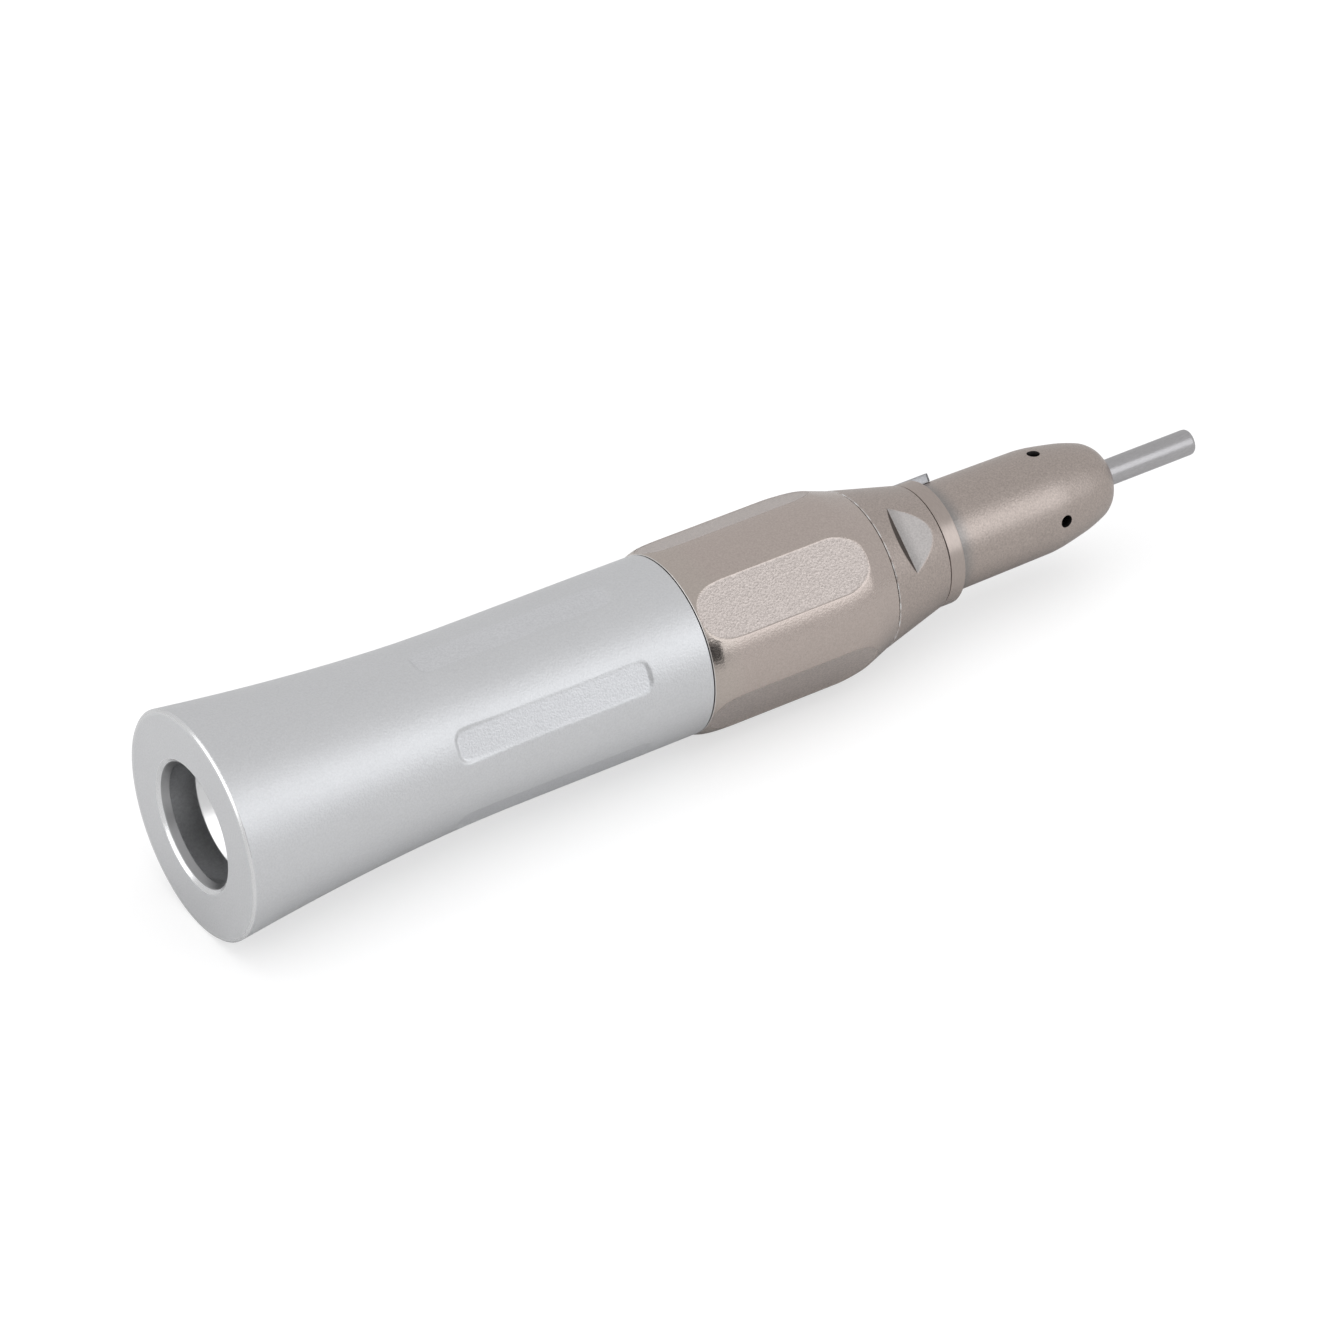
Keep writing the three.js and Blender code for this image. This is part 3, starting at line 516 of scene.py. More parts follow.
def pocketed(station, radius, angle):
    """Presses six shallow, flat-floored finger pockets into the outer surface."""
    middle = (POCKET_START + POCKET_END) / 2
    half_length = (POCKET_END - POCKET_START) / 2
    outside = radius > 7.5
    made = radius.copy()
    flat = np.zeros_like(radius)
    for centre in POCKET_ANGLES:
        turn = turn_from(angle, centre)
        near = outside & (np.abs(turn) < 0.6)
        along = np.abs(station - middle) - (half_length - POCKET_CORNER)
        aside = np.abs(radius * np.sin(turn)) - (POCKET_HALF_WIDTH - POCKET_CORNER)
        beyond = np.hypot(np.maximum(along, 0), np.maximum(aside, 0))
        inside = -(beyond + np.minimum(np.maximum(along, aside), 0) - POCKET_CORNER)
        floor = np.minimum(POCKET_FLOOR / np.cos(np.clip(turn, -1, 1)), radius)
        depth = smooth(0, POCKET_WALL, inside)
        made = np.where(near, made + (floor - radius) * depth, made)
        flat = np.maximum(flat, near * smooth(POCKET_WALL * 0.7, POCKET_WALL, inside))
    # The rim and the lip are polished and painted brighter as a highlight; everything inside the lip is
    # darker.
    rim = (radius > 9.6) & (station < 0.21)
    lip = (radius > 5.5) & (radius < 5.9) & (station < 0.33)
    marks = {"flat": flat, "polish_and_highlight": (rim | lip).astype(float), "darker_in_bore": (radius < 5.48).astype(float)}
    return made, marks


def sheath():
    corners = [(0.0, 9.79, 0.03, 0.1), (0.2, flare(0.2), 0.05, 0.5)]
    corners += [(s, flare(s), 0.6, 0.5) for s in range(2, 22, 2)]
    corners += [
        (20.3, flare(20.3), 0, 0.1),
        (22.4, flare(22.4), 0, 0.4),
        (26.0, 7.95, 0.8, 0.5),
        (38.0, 7.95, 0, 0.1),
        (40.0, 7.95, 0, 0.5),
        (45.11, 7.93, 0.04, 0.3),
        (45.11, 6.8, 0.05, 2.0),
        (24.4, 6.8, 0.05, 0.3),
        (24.4, 6.35, 0.05, 3.0),
        (0.95, 6.35, 0.05, 0.4),
        (0.95, 5.2, 0.03, 0.2),
        (0.3, 5.46, 0.05, 0.2),
        (0.0, 5.8, 0.05, 0.3),
    ]
    points = outline(corners, 0.5)
    angles = gathered(POCKET_ANGLES, 13.5, 0.68, 1.8)
    piece("sheath_shell", revolve(points, angles, pocketed), pearl, "rear_sheath")


sheath()


# ---- chuck ring ----

CHUCK_START = 45.2
CHUCK_TURN = 45
DETENT_ANGLE = 180
DETENT_PITCH = 5.8
FLAT_ANGLES = [43.2 + 72 * k for k in range(5)]
FLAT_DISTANCE = 8.0
FLAT_STEP = 0.045
CREASE = 0.02


def flatted(station, radius, angle):
    """Mills five finger flats into the ring, each sunk by a hair so that its rim shows."""
    made = radius.copy()
    flat = np.zeros_like(radius)
    for centre in FLAT_ANGLES:
        turn = turn_from(angle, centre)
        plane = FLAT_DISTANCE / np.cos(np.clip(turn, -1.2, 1.2))
        near = (np.abs(turn) < 0.55) & (radius > 7)
        inside = np.where(near, radius - plane, 0)
        made = np.where(near, soft_least(made, plane, CREASE), made)
        made -= FLAT_STEP * smooth(0.0, 0.03, inside)
        flat = np.maximum(flat, smooth(0.0, 0.03, inside))
    gloss = (1 - smooth(46.6, 48.5, station)) * (1 - flat)
    # The rear edge is polished and painted part-way to near-white: a painted highlight.
    rear_edge = (station < 45.25) & (radius > 7.8)
    return made, {"flat": flat, "gloss": gloss, "polish_and_highlight": 0.6 * rear_edge}


def chuck_ring():
    corners = [
        (CHUCK_START, 7.96, 0.05, 0.09),
        (45.5, 8.08, 0.25, 0.09),
        (46.1, 8.25, 0.3, 0.09),
        (47.1, 8.36, 0.5, 0.12),
        (48.3, 8.4, 0.5, 0.6),
        (59.4, 8.4, 0.4, 0.1),
        (60.6, 8.28, 0.4, 0.1),
        (61.6, 8.12, 0.4, 0.1),
        (62.3, 7.9, 0.3, 0.12),
        (64.33, 7.21, 0.05, 0.3),
        (64.33, 5.95, 0.05, 2.0),
        (45.95, 5.95, 0.05, 0.3),
        (45.95, 4.98, 0.05, 0.3),
        (CHUCK_START, 4.98, 0.05, 0.3),
    ]
    points = outline(corners, 0.5)
    reach = math.degrees(math.acos(FLAT_DISTANCE / 8.4))
    creases = [centre + side * reach for centre in FLAT_ANGLES for side in (-1, 1)]
    angles = gathered(creases, 2.0, 0.22, 0.75)
    made = piece("chuck_grip", revolve(points, angles, flatted), grip_nickel, "chuck_ring")
    ends = (DETENT_ANGLE - CHUCK_TURN - 10, DETENT_ANGLE + 10)
    inner, outer = DETENT_PITCH - 0.7, DETENT_PITCH + 0.7
    ball_track = arc_block(*ends, CHUCK_START, 0.0, 0.7, inner, outer)
    drill(made, [ball_track])


chuck_ring()


# ---- index ring, front collar and locating lug ----

NOTCH_ANGLES = [40.2, 220.2]
NOTCH_DISTANCE = 5.83
NOTCH_START = 66.85
NOTCH_WALL_SLOPE = 1.07


def notched(station, radius, angle):
    """Cuts the two spanner flats, each with a sloping rear wall, and paints shade on that wall and on the
    floor next to it.
    """
    made = radius.copy()
    sunk = np.zeros_like(radius)
    rise = np.maximum(NOTCH_START - station, 0) * NOTCH_WALL_SLOPE
    for centre in NOTCH_ANGLES:
        turn = turn_from(angle, centre)
        plane = (NOTCH_DISTANCE + rise) / np.cos(np.clip(turn, -1.3, 1.3))
        near = (np.abs(turn) < 1.2) & (radius > 5.1)
        sunk = np.maximum(sunk, np.where(near, smooth(0.0, 0.03, radius - plane), 0))
        made = np.where(near, soft_least(made, plane, 0.02), made)
    # The rear wall is painted near-black and the floor next to it darker: painted shade.
    shaded_wall = sunk * (rise > 0)
    floor = sunk * (rise <= 0)
    shade = floor * (1 - smooth(NOTCH_START, NOTCH_START + 1.3, station)) * 0.75
    # A broken near-white line on the rear edge: polish with a painted highlight, broken up by a fixed wave.
    broken_highlight = 0.5 + 0.5 * np.sin(37 * angle) * np.sin(11 * angle + 1)
    rear_edge = (station < 64.53) & (radius > 7.0)
    return made, {"flat": floor, "shaded_wall": shaded_wall, "shade": shade, "polish_and_highlight": broken_highlight * rear_edge}


def index_ring():
    corners = [
        (64.43, 7.11, 0.02, 0.05),
        (64.53, 7.18, 0.02, 0.15),
        (65.7, 6.883, 0, 0.05),
        (67.0, 6.553, 0, 0.12),
        (70.8, 5.59, 0.05, 0.2),
        (70.8, 4.95, 0.03, 1.0),
        (64.43, 4.95, 0.03, 0.3),
    ]
    points = outline(corners, 0.2)
    piece("index_taper", revolve(points, even(600), notched), nose_nickel, "index_ring")


index_ring()

LUG_ANGLE = -41.0
LUG_HALF_WIDTH = 0.93
COLLAR_RADIUS = 5.57


def swept_arc(points, start, stop, count):
    """A profile swept round an arc from start to stop degrees, closed by its two ends."""
    angles = np.radians(np.linspace(start, stop, count))
    station, angle = np.meshgrid(points[:, 0], angles, indexing="ij")
    radius = np.repeat(points[:, 1][:, None], count, axis=1)
    rows = len(points)
    corner = np.arange(rows * count).reshape(rows, count)
    below = np.roll(corner, -1, axis=0)
    sides = np.stack([corner[:, :-1], corner[:, 1:], below[:, 1:], below[:, :-1]], -1)
    faces = [tuple(quad) for quad in sides.reshape(-1, 4)]
    faces += [tuple(corner[:, 0]), tuple(corner[::-1, -1])]
    return lift(station, radius, angle), faces


def collar():
    corners = [
        (70.88, COLLAR_RADIUS, 0.06),
        (72.33, COLLAR_RADIUS, 0.08),
        (72.33, 4.95, 0.03),
        (70.88, 4.95, 0.03),
    ]
    points = outline(corners, 0.2)[::-1]
    half = math.degrees(math.asin((LUG_HALF_WIDTH + 0.02) / COLLAR_RADIUS))
    place, faces = swept_arc(points, LUG_ANGLE + half, LUG_ANGLE + 360 - half, 360)
    mesh = bpy.data.meshes.new("front_band")
    mesh.from_pydata(place.tolist(), [], faces)
    finish_piece("front_band", mesh, turned_nickel, "front_collar", sharp=50)


def lug():
    """The steel key: flush with the collar outside, and close over the nose inside."""
    low, high, corner = 70.9, 74.4, 0.42
    plan = [(low, -LUG_HALF_WIDTH), (high - corner, -LUG_HALF_WIDTH), (high, corner - LUG_HALF_WIDTH)]
    plan += [(station, -aside) for station, aside in reversed(plan)]
    work = bmesh.new()
    base = work.faces.new([work.verts.new((station, aside, 0)) for station, aside in plan])
    lifted = bmesh.ops.extrude_face_region(work, geom=[base])["geom"]
    for vert in lifted:
        if isinstance(vert, bmesh.types.BMVert):
            vert.co.z = 1.0
    cuts = [(Vector((0, aside, 0)), Vector((0, 1, 0))) for aside in (-0.6, -0.3, 0, 0.3, 0.6)]
    cuts.append((Vector((72.36, 0, 0)), Vector((1, 0, 0))))
    for place, normal in cuts:
        geometry = work.verts[:] + work.edges[:] + work.faces[:]
        bmesh.ops.bisect_plane(work, geom=geometry, plane_co=place, plane_no=normal)
    for vert in work.verts:
        inner = 4.95 if vert.co.x < 72.3 else 4.85
        reach = COLLAR_RADIUS if vert.co.z > 0.5 else inner
        vert.co.z = math.sqrt(reach**2 - vert.co.y**2)
    bmesh.ops.recalc_face_normals(work, faces=work.faces)
    rims = [edge for edge in work.edges if edge.calc_face_angle(0) > math.radians(30)]
    bmesh.ops.bevel(work, geom=rims, offset=0.05, segments=2, profile=0.5, affect="EDGES")
    # The front end past the rounded corners is painted darker as shade.
    shade = work.verts.layers.float.new("shade")
    for vert in work.verts:
        vert[shade] = 1.0 if vert.co.x > high - corner + 0.02 else 0.0
    finish_piece("lug_key", placed(work, 0.0, LUG_ANGLE), lug_steel, "locating_lug", sharp=30)


collar()
lug()


# ---- nose cone ----

NOSE_HOLE_STATION = 83.67
NOSE_HOLE_ANGLES = [-6.5 + 90 * k for k in range(4)]


def nose():
    corners = [
        (68.5, 4.44, 0.05, 0.4),
        (72.36, 4.44, 0.03, 0.1),
        (72.36, 4.83, 0.06, 0.3),
        (76.0, 4.79, 0.5, 0.5),
        (80.0, 4.745, 0.5, 0.3),
        (83.3, 4.7, 0.3, 0.2),
        (84.3, 4.6, 0.3, 0.2),
        (85.3, 4.43, 0.3, 0.2),
        (86.3, 4.24, 0.3, 0.2),
        (87.3, 4.04, 0.4, 0.15),
        (88.3, 3.75, 0.4, 0.12),
        (89.3, 3.4, 0.35, 0.1),
        (90.0, 2.9, 0.35, 0.08),
        (90.5, 2.2, 0.3, 0.08),
        (90.85, 1.6, 0.2, 0.08),
        (90.9, 1.3, 0.1, 0.2),
        (89.5, 1.3, 0.05, 0.3),
        (89.5, 2.45, 0.05, 1.0),
        (87.0, 2.45, 0.05, 0.3),
        (87.0, 3.2, 0.05, 1.0),
        (84.4, 3.2, 0.05, 0.3),
        (84.4, 3.75, 0.05, 0.5),
        (82.9, 3.75, 0.05, 0.3),
        (82.9, 4.15, 0.05, 2.0),
        (68.5, 4.15, 0.05, 0.3),
    ]
    points = outline(corners, 0.4)
    shell = revolve(points, even(240), banded)
    made = piece("nose_shell", shell, nose_nickel, "nose_cone")
    mouth = [(0.0, 3.4), (0.55, 3.4), (0.55, 4.6), (0.63, 4.72), (0.63, 5.4), (0.0, 5.4)]
    drill(made, [placed(spun(mouth), NOSE_HOLE_STATION, angle) for angle in NOSE_HOLE_ANGLES])


def banded(station, radius, angle):
    """Paints a darker band of shade on the nose next to the collar."""
    return radius, {"shade": (1 - smooth(72.5, 74.2, station)) * (radius > 4.5)}


nose()


# ---- mandrel ----


def mandrel():
    corners = [
        (55.8, 0.0, 0),
        (55.8, 1.175, 0.15, 2.0),
        (100.3, 1.175, 0.35, 0.2),
        (100.3, 0.0, 0),
    ]
    points = outline(corners, 0.3)
    piece("mandrel_shank", revolve(points, even(96)), shank_steel, "test_mandrel")


mandrel()


# ---- motor socket ----


def socket():
    corners = [
        (0.96, 6.3, 0.05, 1.5),
        (24.3, 6.3, 0.05, 0.4),
        (24.3, 3.2, 0.05, 0.4),
        (22.5, 3.2, 0.05, 0.4),
        (22.5, 4.0, 0.1, 1.5),
        (4.5, 4.0, 0.15, 0.1),
        (3.3, 5.2, 0.06, 0.1),
        (0.96, 5.2, 0.01, 0.2),
    ]
    points = outline(corners, 0.4)
    piece("socket_tube", revolve(points, even(180), seated), socket_steel, "coupling_tube")


def seated(station, radius, angle):
    """Marks the polished seat inside the socket, also painted brighter as a highlight."""
    return radius, {"polish_and_highlight": smooth(3.28, 3.34, station) * (1 - smooth(4.6, 5.2, station)) * (radius < 5.3)}


socket()


# ---- inner mechanism: turned pieces ----

REAR_BEARING, MIDDLE_BEARING, FRONT_BEARING = 28.55, 75.25, 81.3
BEARING_HALF = 1.5
BEARING_BORE, BEARING_RADIUS = 2.28, 4.1
INNER_RACE, OUTER_RACE = 2.74, 3.65
SPACER_GAP = 0.05
NUT_GAP = 0.1
SPINDLE_CLEAR = 2.72
CAM_PIN = 50.0
CROSS_PIN = 55.25
DOG_PIN = 22.0
O_RINGS = (28.0, 38.5)
O_RING_RADIUS, O_RING_WIRE = 6.46, 0.29
CROSS_ANGLES = (90, 270)


def turned(node, material, corners, count=96):
    points = outline(corners, 2.0)
    return piece(node + "_turned", revolve(points, even(count)), material, node, 35)


def sleeve(node, material, start, end, inner, outer, edge=0.1):
    """A plain ring with eased edges."""
    corners = [(start, inner, edge), (start, outer, edge), (end, outer, edge), (end, inner, edge)]
    return turned(node, material, corners)


def threaded(node, material, start, end, inner, outer):
    """A ring nut with thread grooves round its outside."""
    pitch, depth = 0.4, 0.1
    root = outer - depth
    corners = [(end, inner, 0.05), (start, inner, 0.05), (start, root, 0.03)]
    for k in range(int((end - start - 0.3) / pitch)):
        valley = start + 0.15 + k * pitch
        corners += [(valley, root, 0.02), (valley + pitch / 2, outer, 0.03)]
    corners.append((end, root, 0.03))
    return turned(node, material, corners)


def wrench_slots(count, station, length, width, height, middle):
    """Cutters for the slots across a nut's end, evenly round it."""
    return [placed(bar(length, width, height, middle), station, 360 * k / count) for k in range(count)]


def spacers():
    start = MIDDLE_BEARING + BEARING_HALF + SPACER_GAP
    end = FRONT_BEARING - BEARING_HALF - SPACER_GAP
    sleeve("outer_spacer", ground_steel, start, end, OUTER_RACE, BEARING_RADIUS)
    sleeve("inner_spacer", ground_steel, start, end, BEARING_BORE, INNER_RACE)
    sleeve("thrust_washer", bronze, 53.0, 53.7, SPINDLE_CLEAR, 3.85)


def nuts():
    start, end = 25.3, REAR_BEARING - BEARING_HALF - NUT_GAP
    made = threaded("rear_bearing_retainer", ground_steel, start, end, 3.3, BEARING_RADIUS)
    drill(made, wrench_slots(4, start, 1.6, 0.9, 3.0, 4.0))
    start, end = 69.5, 72.2
    made = threaded("bearing_retainer_nut", ground_steel, start, end, 3.3, BEARING_RADIUS)
    drill(made, wrench_slots(4, end, 1.2, 0.9, 3.0, 4.0))
    start = FRONT_BEARING + BEARING_HALF + NUT_GAP
    end = start + 1.3
    made = sleeve("front_lock_nut", ground_steel, start, end, BEARING_BORE, 3.1)
    drill(made, wrench_slots(6, end, 1.0, 0.7, 1.2, 3.1))


def seals():
    """The nose seal, with a lip each side of a groove, and the sheath's two O-rings."""
    start, end, bore = 85.4, 86.8, 2.36
    corners = [(start, bore + 0.04, 0.05), (start, 3.14, 0.08), (end, 3.14, 0.08), (end, bore, 0.05)]
    corners += [(86.4, bore, 0.05), (86.25, 2.6, 0.05), (85.95, 2.6, 0.05), (85.8, bore, 0.05)]
    turned("nose_seal", polymer, corners)
    turns = 2 * math.pi * np.arange(24) / 24
    for number, station in enumerate(O_RINGS, 1):
        along = station + O_RING_WIRE * np.cos(turns)
        section = np.stack([along, O_RING_RADIUS + O_RING_WIRE * np.sin(turns)], -1)
        node = f"sheath_o_ring_{number}"
        piece(node + "_round", revolve(section, even(180)), rubber, node)


spacers()
nuts()
seals()


# ---- bearings ----

BALLS = 7
BALL_PITCH = 3.195
BALL_RADIUS = 0.55
GROOVE_RADIUS = 0.63


def groove(surface):
    """The ball track of a race, as profile points, for the race's surface radius."""
    height = surface - BALL_PITCH
    reach = math.acos(abs(height) / GROOVE_RADIUS)
    turns = np.linspace(reach, -reach, 11)
    along, high = GROOVE_RADIUS * np.sin(turns), GROOVE_RADIUS * np.cos(turns)
    return [(s, BALL_PITCH + math.copysign(h, height), 0) for s, h in zip(along, high)]


def races(name, station):
    half = BEARING_HALF
    profiles = {}
    for which, surface, back, edge in (
        ("outer", OUTER_RACE, BEARING_RADIUS, 0.15),
        ("inner", INNER_RACE, BEARING_BORE, 0.12),
    ):
        corners = [(-half, surface, 0.1), (-half, back, edge), (half, back, edge), (half, surface, 0.1)]
        profiles[which] = corners + groove(surface)
    for which, corners in profiles.items():
        moved = [(station + along, radius, fillet) for along, radius, fillet in corners]
        turned(f"{name}_{which}_race", hardened_steel, moved)


def balls(name, station):
    """A pocketed cage with its balls, as one piece."""
    cage = sleeve(name + "_balls", bronze, station - 0.9, station + 0.9, 3.02, 3.37, 0.06)
    spaces = [360 * k / BALLS for k in range(BALLS)]
    drill(cage, [placed(pin(0.62, 2.0, 4.0, 0, 24), station, angle) for angle in spaces], bronze)
    work = bmesh.new()
    work.from_mesh(cage.data)
    for angle in np.radians(spaces):
        out = Vector((0, -math.sin(angle), math.cos(angle))) * BALL_PITCH
        place = Vector((station - LENGTH / 2, 0, AXIS_HEIGHT)) + out
        at = Matrix.Translation(place * MM)
        size = BALL_RADIUS * MM
        ball = bmesh.ops.create_uvsphere(work, u_segments=28, v_segments=16, radius=size, matrix=at)
        for face in {face for vert in ball["verts"] for face in vert.link_faces}:
            face.material_index = len(cage.data.materials)
            face.smooth = True
    work.to_mesh(cage.data)
    work.free()
    cage.data.materials.append(hardened_steel)


BEARINGS = {"rear_bearing": REAR_BEARING, "middle_bearing": MIDDLE_BEARING, "front_bearing": FRONT_BEARING}
for bearing_name, bearing_station in BEARINGS.items():
    races(bearing_name, bearing_station)
    balls(bearing_name, bearing_station)


# ---- body core, cam and thrust sleeve ----


def lengthwise_bore(start, end, pitch, radius, angle):
    """A drill that runs along the axis, off centre by the pitch."""
    work = pin(radius, start, end, 0)
    lay = Matrix.Rotation(math.radians(90), 4, "Y")
    for vert in work.verts:
        vert.co = lay @ vert.co + Vector((0, 0, pitch))
    return placed(work, 0.0, angle)


def core():
    corners = [(24.4, 6.7, 0.15)]
    for station in O_RINGS:
        for aside, radius in ((-0.35, 6.7), (-0.35, 6.15), (0.35, 6.15), (0.35, 6.7)):
            corners.append((station + aside, radius, 0.04))
    corners += [
        (44.9, 6.7, 0.12),
        (44.9, 4.9, 0.06),
        (72.2, 4.9, 0.1),
        (72.2, 4.5, 0.05),
        (68.4, 4.5, 0.05),
        (68.4, 4.0, 0.1),
        (31.05, 4.0, 0.1),
        (31.05, 3.6, 0.1),
        (30.05, 3.6, 0.05),
        (30.05, 4.15, 0.03),
        (24.4, 4.15, 0.15),
    ]
    made = turned("body_core", ground_steel, corners, count=180)
    pin_slots = [placed(bar(2.4, 1.7, 2.0, 4.9), CAM_PIN + 0.35, angle) for angle in CROSS_ANGLES]
    detent_hole = lengthwise_bore(40.9, 44.95, DETENT_PITCH, 0.8, DETENT_ANGLE)
    drill(made, pin_slots + [detent_hole], ground_steel)


def cam():
    """The bronze sleeve whose two helical slots push the cam pins forward."""
    made = sleeve("cam_sleeve", bronze, 46.0, 63.9, 4.98, 5.9)
    slots = []
    for angle in CROSS_ANGLES:
        slots.append(arc_block(angle - CHUCK_TURN - 10, angle + 10, 50.856, -1.011, 1.8, 4.4, 6.4))
    drill(made, slots, bronze)


def thrust_sleeve():
    made = sleeve("thrust_sleeve", hardened_steel, 47.0, 53.0, SPINDLE_CLEAR, 3.9)
    holes = [placed(pin(0.8, 2.0, 4.9, 0), CAM_PIN, angle) for angle in CROSS_ANGLES]
    drill(made, holes, hardened_steel)
    for node, angle in zip(("cam_pin_right", "cam_pin_left"), CROSS_ANGLES):
        mesh = placed(pin(0.75, 2.95, 5.8, 0.1), CAM_PIN, angle)
        finish_piece(node + "_round", mesh, hardened_steel, node, 35)


core()
cam()
thrust_sleeve()


# ---- spindle, drive dog and collet ----


def spindle():
    corners = [
        (20.6, 0.0, 0),
        (20.6, 1.5, 0.15),
        (26.2, 1.5, 0.05),
        (26.2, 2.25, 0.1),
        (26.35, 2.25, 0.02),
        (26.35, 2.0, 0.02),
        (26.85, 2.0, 0.02),
        (26.85, 2.25, 0.02),
        (30.05, 2.25, 0.03),
        (30.05, 2.6, 0.1),
        (66.0, 2.6, 0.03),
        (66.0, 3.8, 0.12),
        (66.9, 3.8, 0.12),
        (66.9, 2.6, 0.1),
        (73.7, 2.6, 0.1),
        (73.7, 2.25, 0.03),
        (88.6, 2.25, 0.06),
        (88.6, 2.0, 0.06),
        (86.2, 1.65, 0.2),
        (52.0, 1.65, 0.05),
        (52.0, 0.0, 0),
    ]
    made = turned("spindle", ground_steel, corners)
    dog_slot = placed(bar(2.2, 1.0, 8.0), DOG_PIN + 0.6, 0)
    cross_slot = placed(bar(1.9, 1.2, 8.0), CROSS_PIN + 0.35, 0)
    drill(made, [dog_slot, cross_slot], ground_steel)


def dog():
    start, end, bore = 18.4, 23.4, 1.58
    corners = [(start, 2.6, 0.05), (18.7, 2.9, 0.05), (end, 2.9, 0.1), (end, bore, 0.05), (start, bore, 0.1)]
    made = turned("drive_dog", hardened_steel, corners)
    fork = placed(bar(4.0, 2.4, 8.7), start, 90)
    drill(made, [fork, placed(pin(0.45, -3.9, 3.9, 0), DOG_PIN, 0)], hardened_steel)
    mesh = placed(pin(0.4, -2.75, 2.75), DOG_PIN, 0)
    finish_piece("dog_pin_round", mesh, hardened_steel, "dog_pin", 35)


def collet():
    corners = [
        (53.4, 1.6, 0.1),
        (86.25, 1.6, 0.1),
        (88.65, 1.94, 0.08),
        (88.65, 1.2, 0.06),
        (53.4, 1.2, 0.06),
    ]
    made = turned("collet", hardened_steel, corners)
    slits = [placed(bar(14.0, 0.35, 3.2, 1.6), 84.0, 30 + 120 * k) for k in range(3)]
    drill(made, slits + [placed(pin(0.55, -3.2, 3.2, 0), CROSS_PIN, 0)], hardened_steel)


def draw_collar():
    made = sleeve("draw_collar", ground_steel, 53.8, 56.6, 2.68, 3.85)
    drill(made, [placed(pin(0.55, -4.9, 4.9, 0), CROSS_PIN, 0)], ground_steel)
    mesh = placed(pin(0.5, -3.7, 3.7), CROSS_PIN, 0)
    finish_piece("cross_pin_round", mesh, hardened_steel, "cross_pin", 35)


spindle()
dog()
collet()
draw_collar()


# ---- springs, clip, washer and detent ball ----


def coil(node, start, end, radius, wire, turns, drop):
    """A wire of that radius wound about a line drop below the axis, whose end coils lie
    flat."""
    per_turn, sides = 28, 10
    steps = (turns + 1) * per_turn
    wound = np.arange(steps + 1) / per_turn
    climb = np.clip((wound - 0.5) / turns, 0, 1)
    along = start + wire + (end - start - 2 * wire) * climb
    turn = 2 * math.pi * wound
    outward = np.stack([0 * turn, -np.sin(turn), np.cos(turn)], -1)
    centre = radius * outward
    centre[:, 0] = along
    around = 2 * math.pi * np.arange(sides) / sides
    section = np.cos(around)[:, None] * np.array([1.0, 0, 0]) + np.sin(around)[:, None] * outward[:, None]
    origin = np.array([-LENGTH / 2, 0, AXIS_HEIGHT - drop])
    points = (centre[:, None] + wire * section).reshape(-1, 3) + origin
    corner = np.arange(len(points)).reshape(steps + 1, sides)
    after = np.roll(corner, -1, axis=1)
    quads = np.stack([corner[:-1], after[:-1], after[1:], corner[1:]], -1).reshape(-1, 4)
    faces = [tuple(quad) for quad in quads] + [tuple(corner[0, ::-1]), tuple(corner[-1])]
    mesh = bpy.data.meshes.new(node)
    mesh.from_pydata((points * MM).tolist(), [], faces)
    work = bmesh.new()
    work.from_mesh(mesh)
    bmesh.ops.recalc_face_normals(work, faces=work.faces)
    work.to_mesh(mesh)
    work.free()
    made = finish_piece(node + "_wound", mesh, spring_steel, node, 60)
    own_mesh(made)


def springs():
    coil("dog_spring", 23.45, 26.15, 1.92, 0.2, 4, 0.0)
    coil("chuck_spring", 56.65, 65.95, 3.22, 0.4, 6, 0.0)
    coil("detent_spring", 40.95, 44.0, 0.45, 0.14, 4, DETENT_PITCH)


def circlip():
    made = sleeve("rear_circlip", spring_steel, 26.4, 26.8, 2.05, 2.9, 0.06)
    gap = placed(bar(2.0, 1.2, 2.0, 2.9), 26.4, 0)
    drill(made, [gap], spring_steel)


def wave_washer():
    """A flat ring whose three waves press on the middle bearing's outer race."""
    made = sleeve("preload_washer", spring_steel, 72.65, 72.95, 3.5, 4.05, 0.05)
    for vert in made.data.vertices:
        turn = math.atan2(vert.co.y, vert.co.z - AXIS_HEIGHT * MM)
        vert.co.x += 0.25 * MM * math.cos(3 * turn)


def detent_ball():
    ball = bmesh.new()
    bmesh.ops.create_uvsphere(ball, u_segments=48, v_segments=24, radius=0.7)
    bmesh.ops.translate(ball, verts=ball.verts, vec=(0, 0, DETENT_PITCH))
    mesh = placed(ball, 44.75, DETENT_ANGLE)
    finish_piece("detent_ball_round", mesh, hardened_steel, "detent_ball")


springs()
circlip()
wave_washer()
detent_ball()


# ---- studio: pale floor, soft light ----


REST_STATION = 60.1


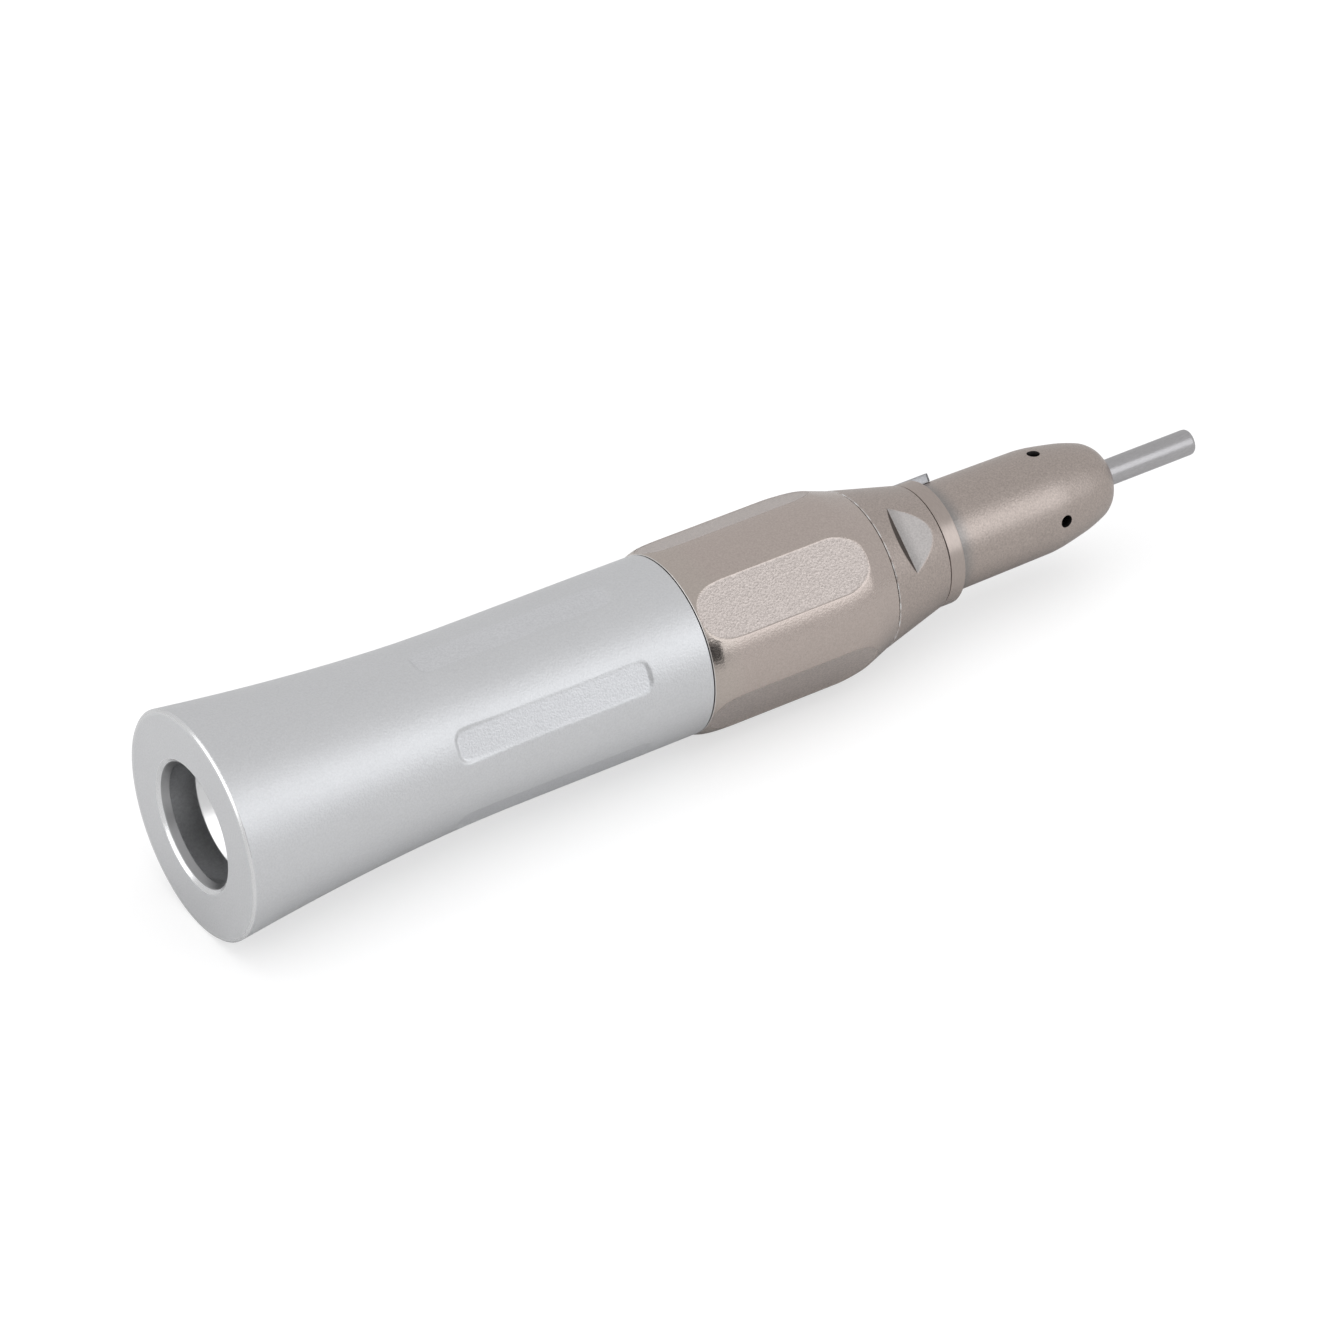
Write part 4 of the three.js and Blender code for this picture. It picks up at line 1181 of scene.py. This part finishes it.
def stage_plane(name, colour, glow, drop, **visible):
    """A floor that touches the rear rim and the chuck ring, which the part lies on. It
    stays level beyond the ring, so that it hides nothing from a low view of the nose."""
    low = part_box("chuck_ring")[0].z
    start, touch, half = -LENGTH / 2 * MM, (REST_STATION - LENGTH / 2) * MM, 4.0
    fall = low / (touch - start) * (half + start)
    corners = []
    for x, z in ((-half, -fall), (touch, low), (half, low)):
        corners += [(x, -half, z - drop), (x, half, z - drop)]
    mesh = bpy.data.meshes.new(name)
    mesh.from_pydata(corners, [], [(0, 2, 3, 1), (2, 4, 5, 3)])
    n = Nodes(name)
    paper = n.mix(n.noise(90.0), rgba(colour), rgba(colour, 1.02))
    flat = n.add("ShaderNodeBsdfPrincipled", Base_Color=paper, Roughness=0.9, Specular_IOR_Level=0.0)
    lit = n.add("ShaderNodeEmission", Color=rgba(colour), Strength=glow)
    both = n.add("ShaderNodeAddShader")
    n.feed(both.inputs[0], flat.outputs["BSDF"])
    n.feed(both.inputs[1], lit.outputs["Emission"])
    mesh.materials.append(n.finished(both))
    plane = bpy.data.objects.new(name, mesh)
    bpy.context.scene.collection.objects.link(plane)
    for key, value in visible.items():
        setattr(plane, "visible_" + key, value)


stage_plane("floor", (0.36, 0.36, 0.36), 1.7, 0.0, glossy=False, diffuse=False, shadow=False)
stage_plane("floor_bounce", (0.5, 0.5, 0.5), 0.0, 0.0002, camera=False, shadow=False)


def direction(azimuth, elevation):
    """A unit vector: azimuth from -Y toward +X and elevation above the horizon."""
    a, e = math.radians(azimuth), math.radians(elevation)
    return Vector((math.sin(a) * math.cos(e), -math.cos(a) * math.cos(e), math.sin(e)))


def softbox(name, azimuth, elevation, distance, width, height, radiance, colour=(1, 1, 1), **visible):
    data = bpy.data.lights.new(name, "AREA")
    data.shape = "RECTANGLE"
    data.size = width
    data.size_y = height
    data.energy = radiance * math.pi * width * height
    data.color = colour
    lamp = bpy.data.objects.new(name, data)
    toward = direction(azimuth, elevation)
    lamp.location = toward * distance
    lamp.rotation_mode = "QUATERNION"
    lamp.rotation_quaternion = toward.to_track_quat("Z", "Y")
    lamp.visible_camera = False
    for key, value in visible.items():
        setattr(lamp, "visible_" + key, value)
    bpy.context.scene.collection.objects.link(lamp)


softbox("key", 22, 30, 0.6, 0.7, 0.42, 0.68, (0.96, 0.985, 1.02))
softbox("side", -96, 22, 0.6, 0.6, 0.36, 1.05)
softbox("overhead", 0, 88, 1.0, 1.4, 1.4, 1.5, glossy=False)


def dark_card(azimuth, elevation, distance, width, height):
    """A black card low in front of the part, which the chuck ring's rear flare mirrors."""
    mesh = bpy.data.meshes.new("dark_card")
    toward = direction(azimuth, elevation)
    across = toward.cross(Vector((0, 0, 1))).normalized()
    upward = across.cross(toward)
    corners = []
    for x, y in ((-1, -1), (1, -1), (1, 1), (-1, 1)):
        corners.append(toward * distance + across * x * width / 2 + upward * y * height / 2)
    mesh.from_pydata(corners, [], [(0, 1, 2, 3)])
    n = Nodes("dark_card")
    cloth = n.mix(n.noise(8.0), rgba((0.02, 0.02, 0.023)), rgba((0.03, 0.03, 0.033)))
    shader = n.add("ShaderNodeBsdfPrincipled", Base_Color=cloth, Roughness=0.9, Specular_IOR_Level=0.0)
    mesh.materials.append(n.finished(shader))
    card = bpy.data.objects.new("dark_card", mesh)
    bpy.context.scene.collection.objects.link(card)
    card.visible_camera = card.visible_diffuse = card.visible_shadow = False


dark_card(-11, 10, 0.25, 0.17, 0.16)


def world_light():
    world = bpy.data.worlds.new("studio")
    bpy.context.scene.world = world
    world.use_nodes = True
    tree = world.node_tree
    tree.nodes.clear()
    path = tree.nodes.new("ShaderNodeLightPath")
    seen = tree.nodes.new("ShaderNodeBackground")
    seen.inputs["Color"].default_value = (1, 1, 1, 1)
    around = tree.nodes.new("ShaderNodeBackground")
    around.inputs["Color"].default_value = (0.63, 0.63, 0.635, 1)
    mix = tree.nodes.new("ShaderNodeMixShader")
    out = tree.nodes.new("ShaderNodeOutputWorld")
    tree.links.new(path.outputs["Is Camera Ray"], mix.inputs["Fac"])
    tree.links.new(around.outputs["Background"], mix.inputs[1])
    tree.links.new(seen.outputs["Background"], mix.inputs[2])
    tree.links.new(mix.outputs["Shader"], out.inputs["Surface"])


world_light()
bpy.context.scene.view_settings.view_transform = "Standard"
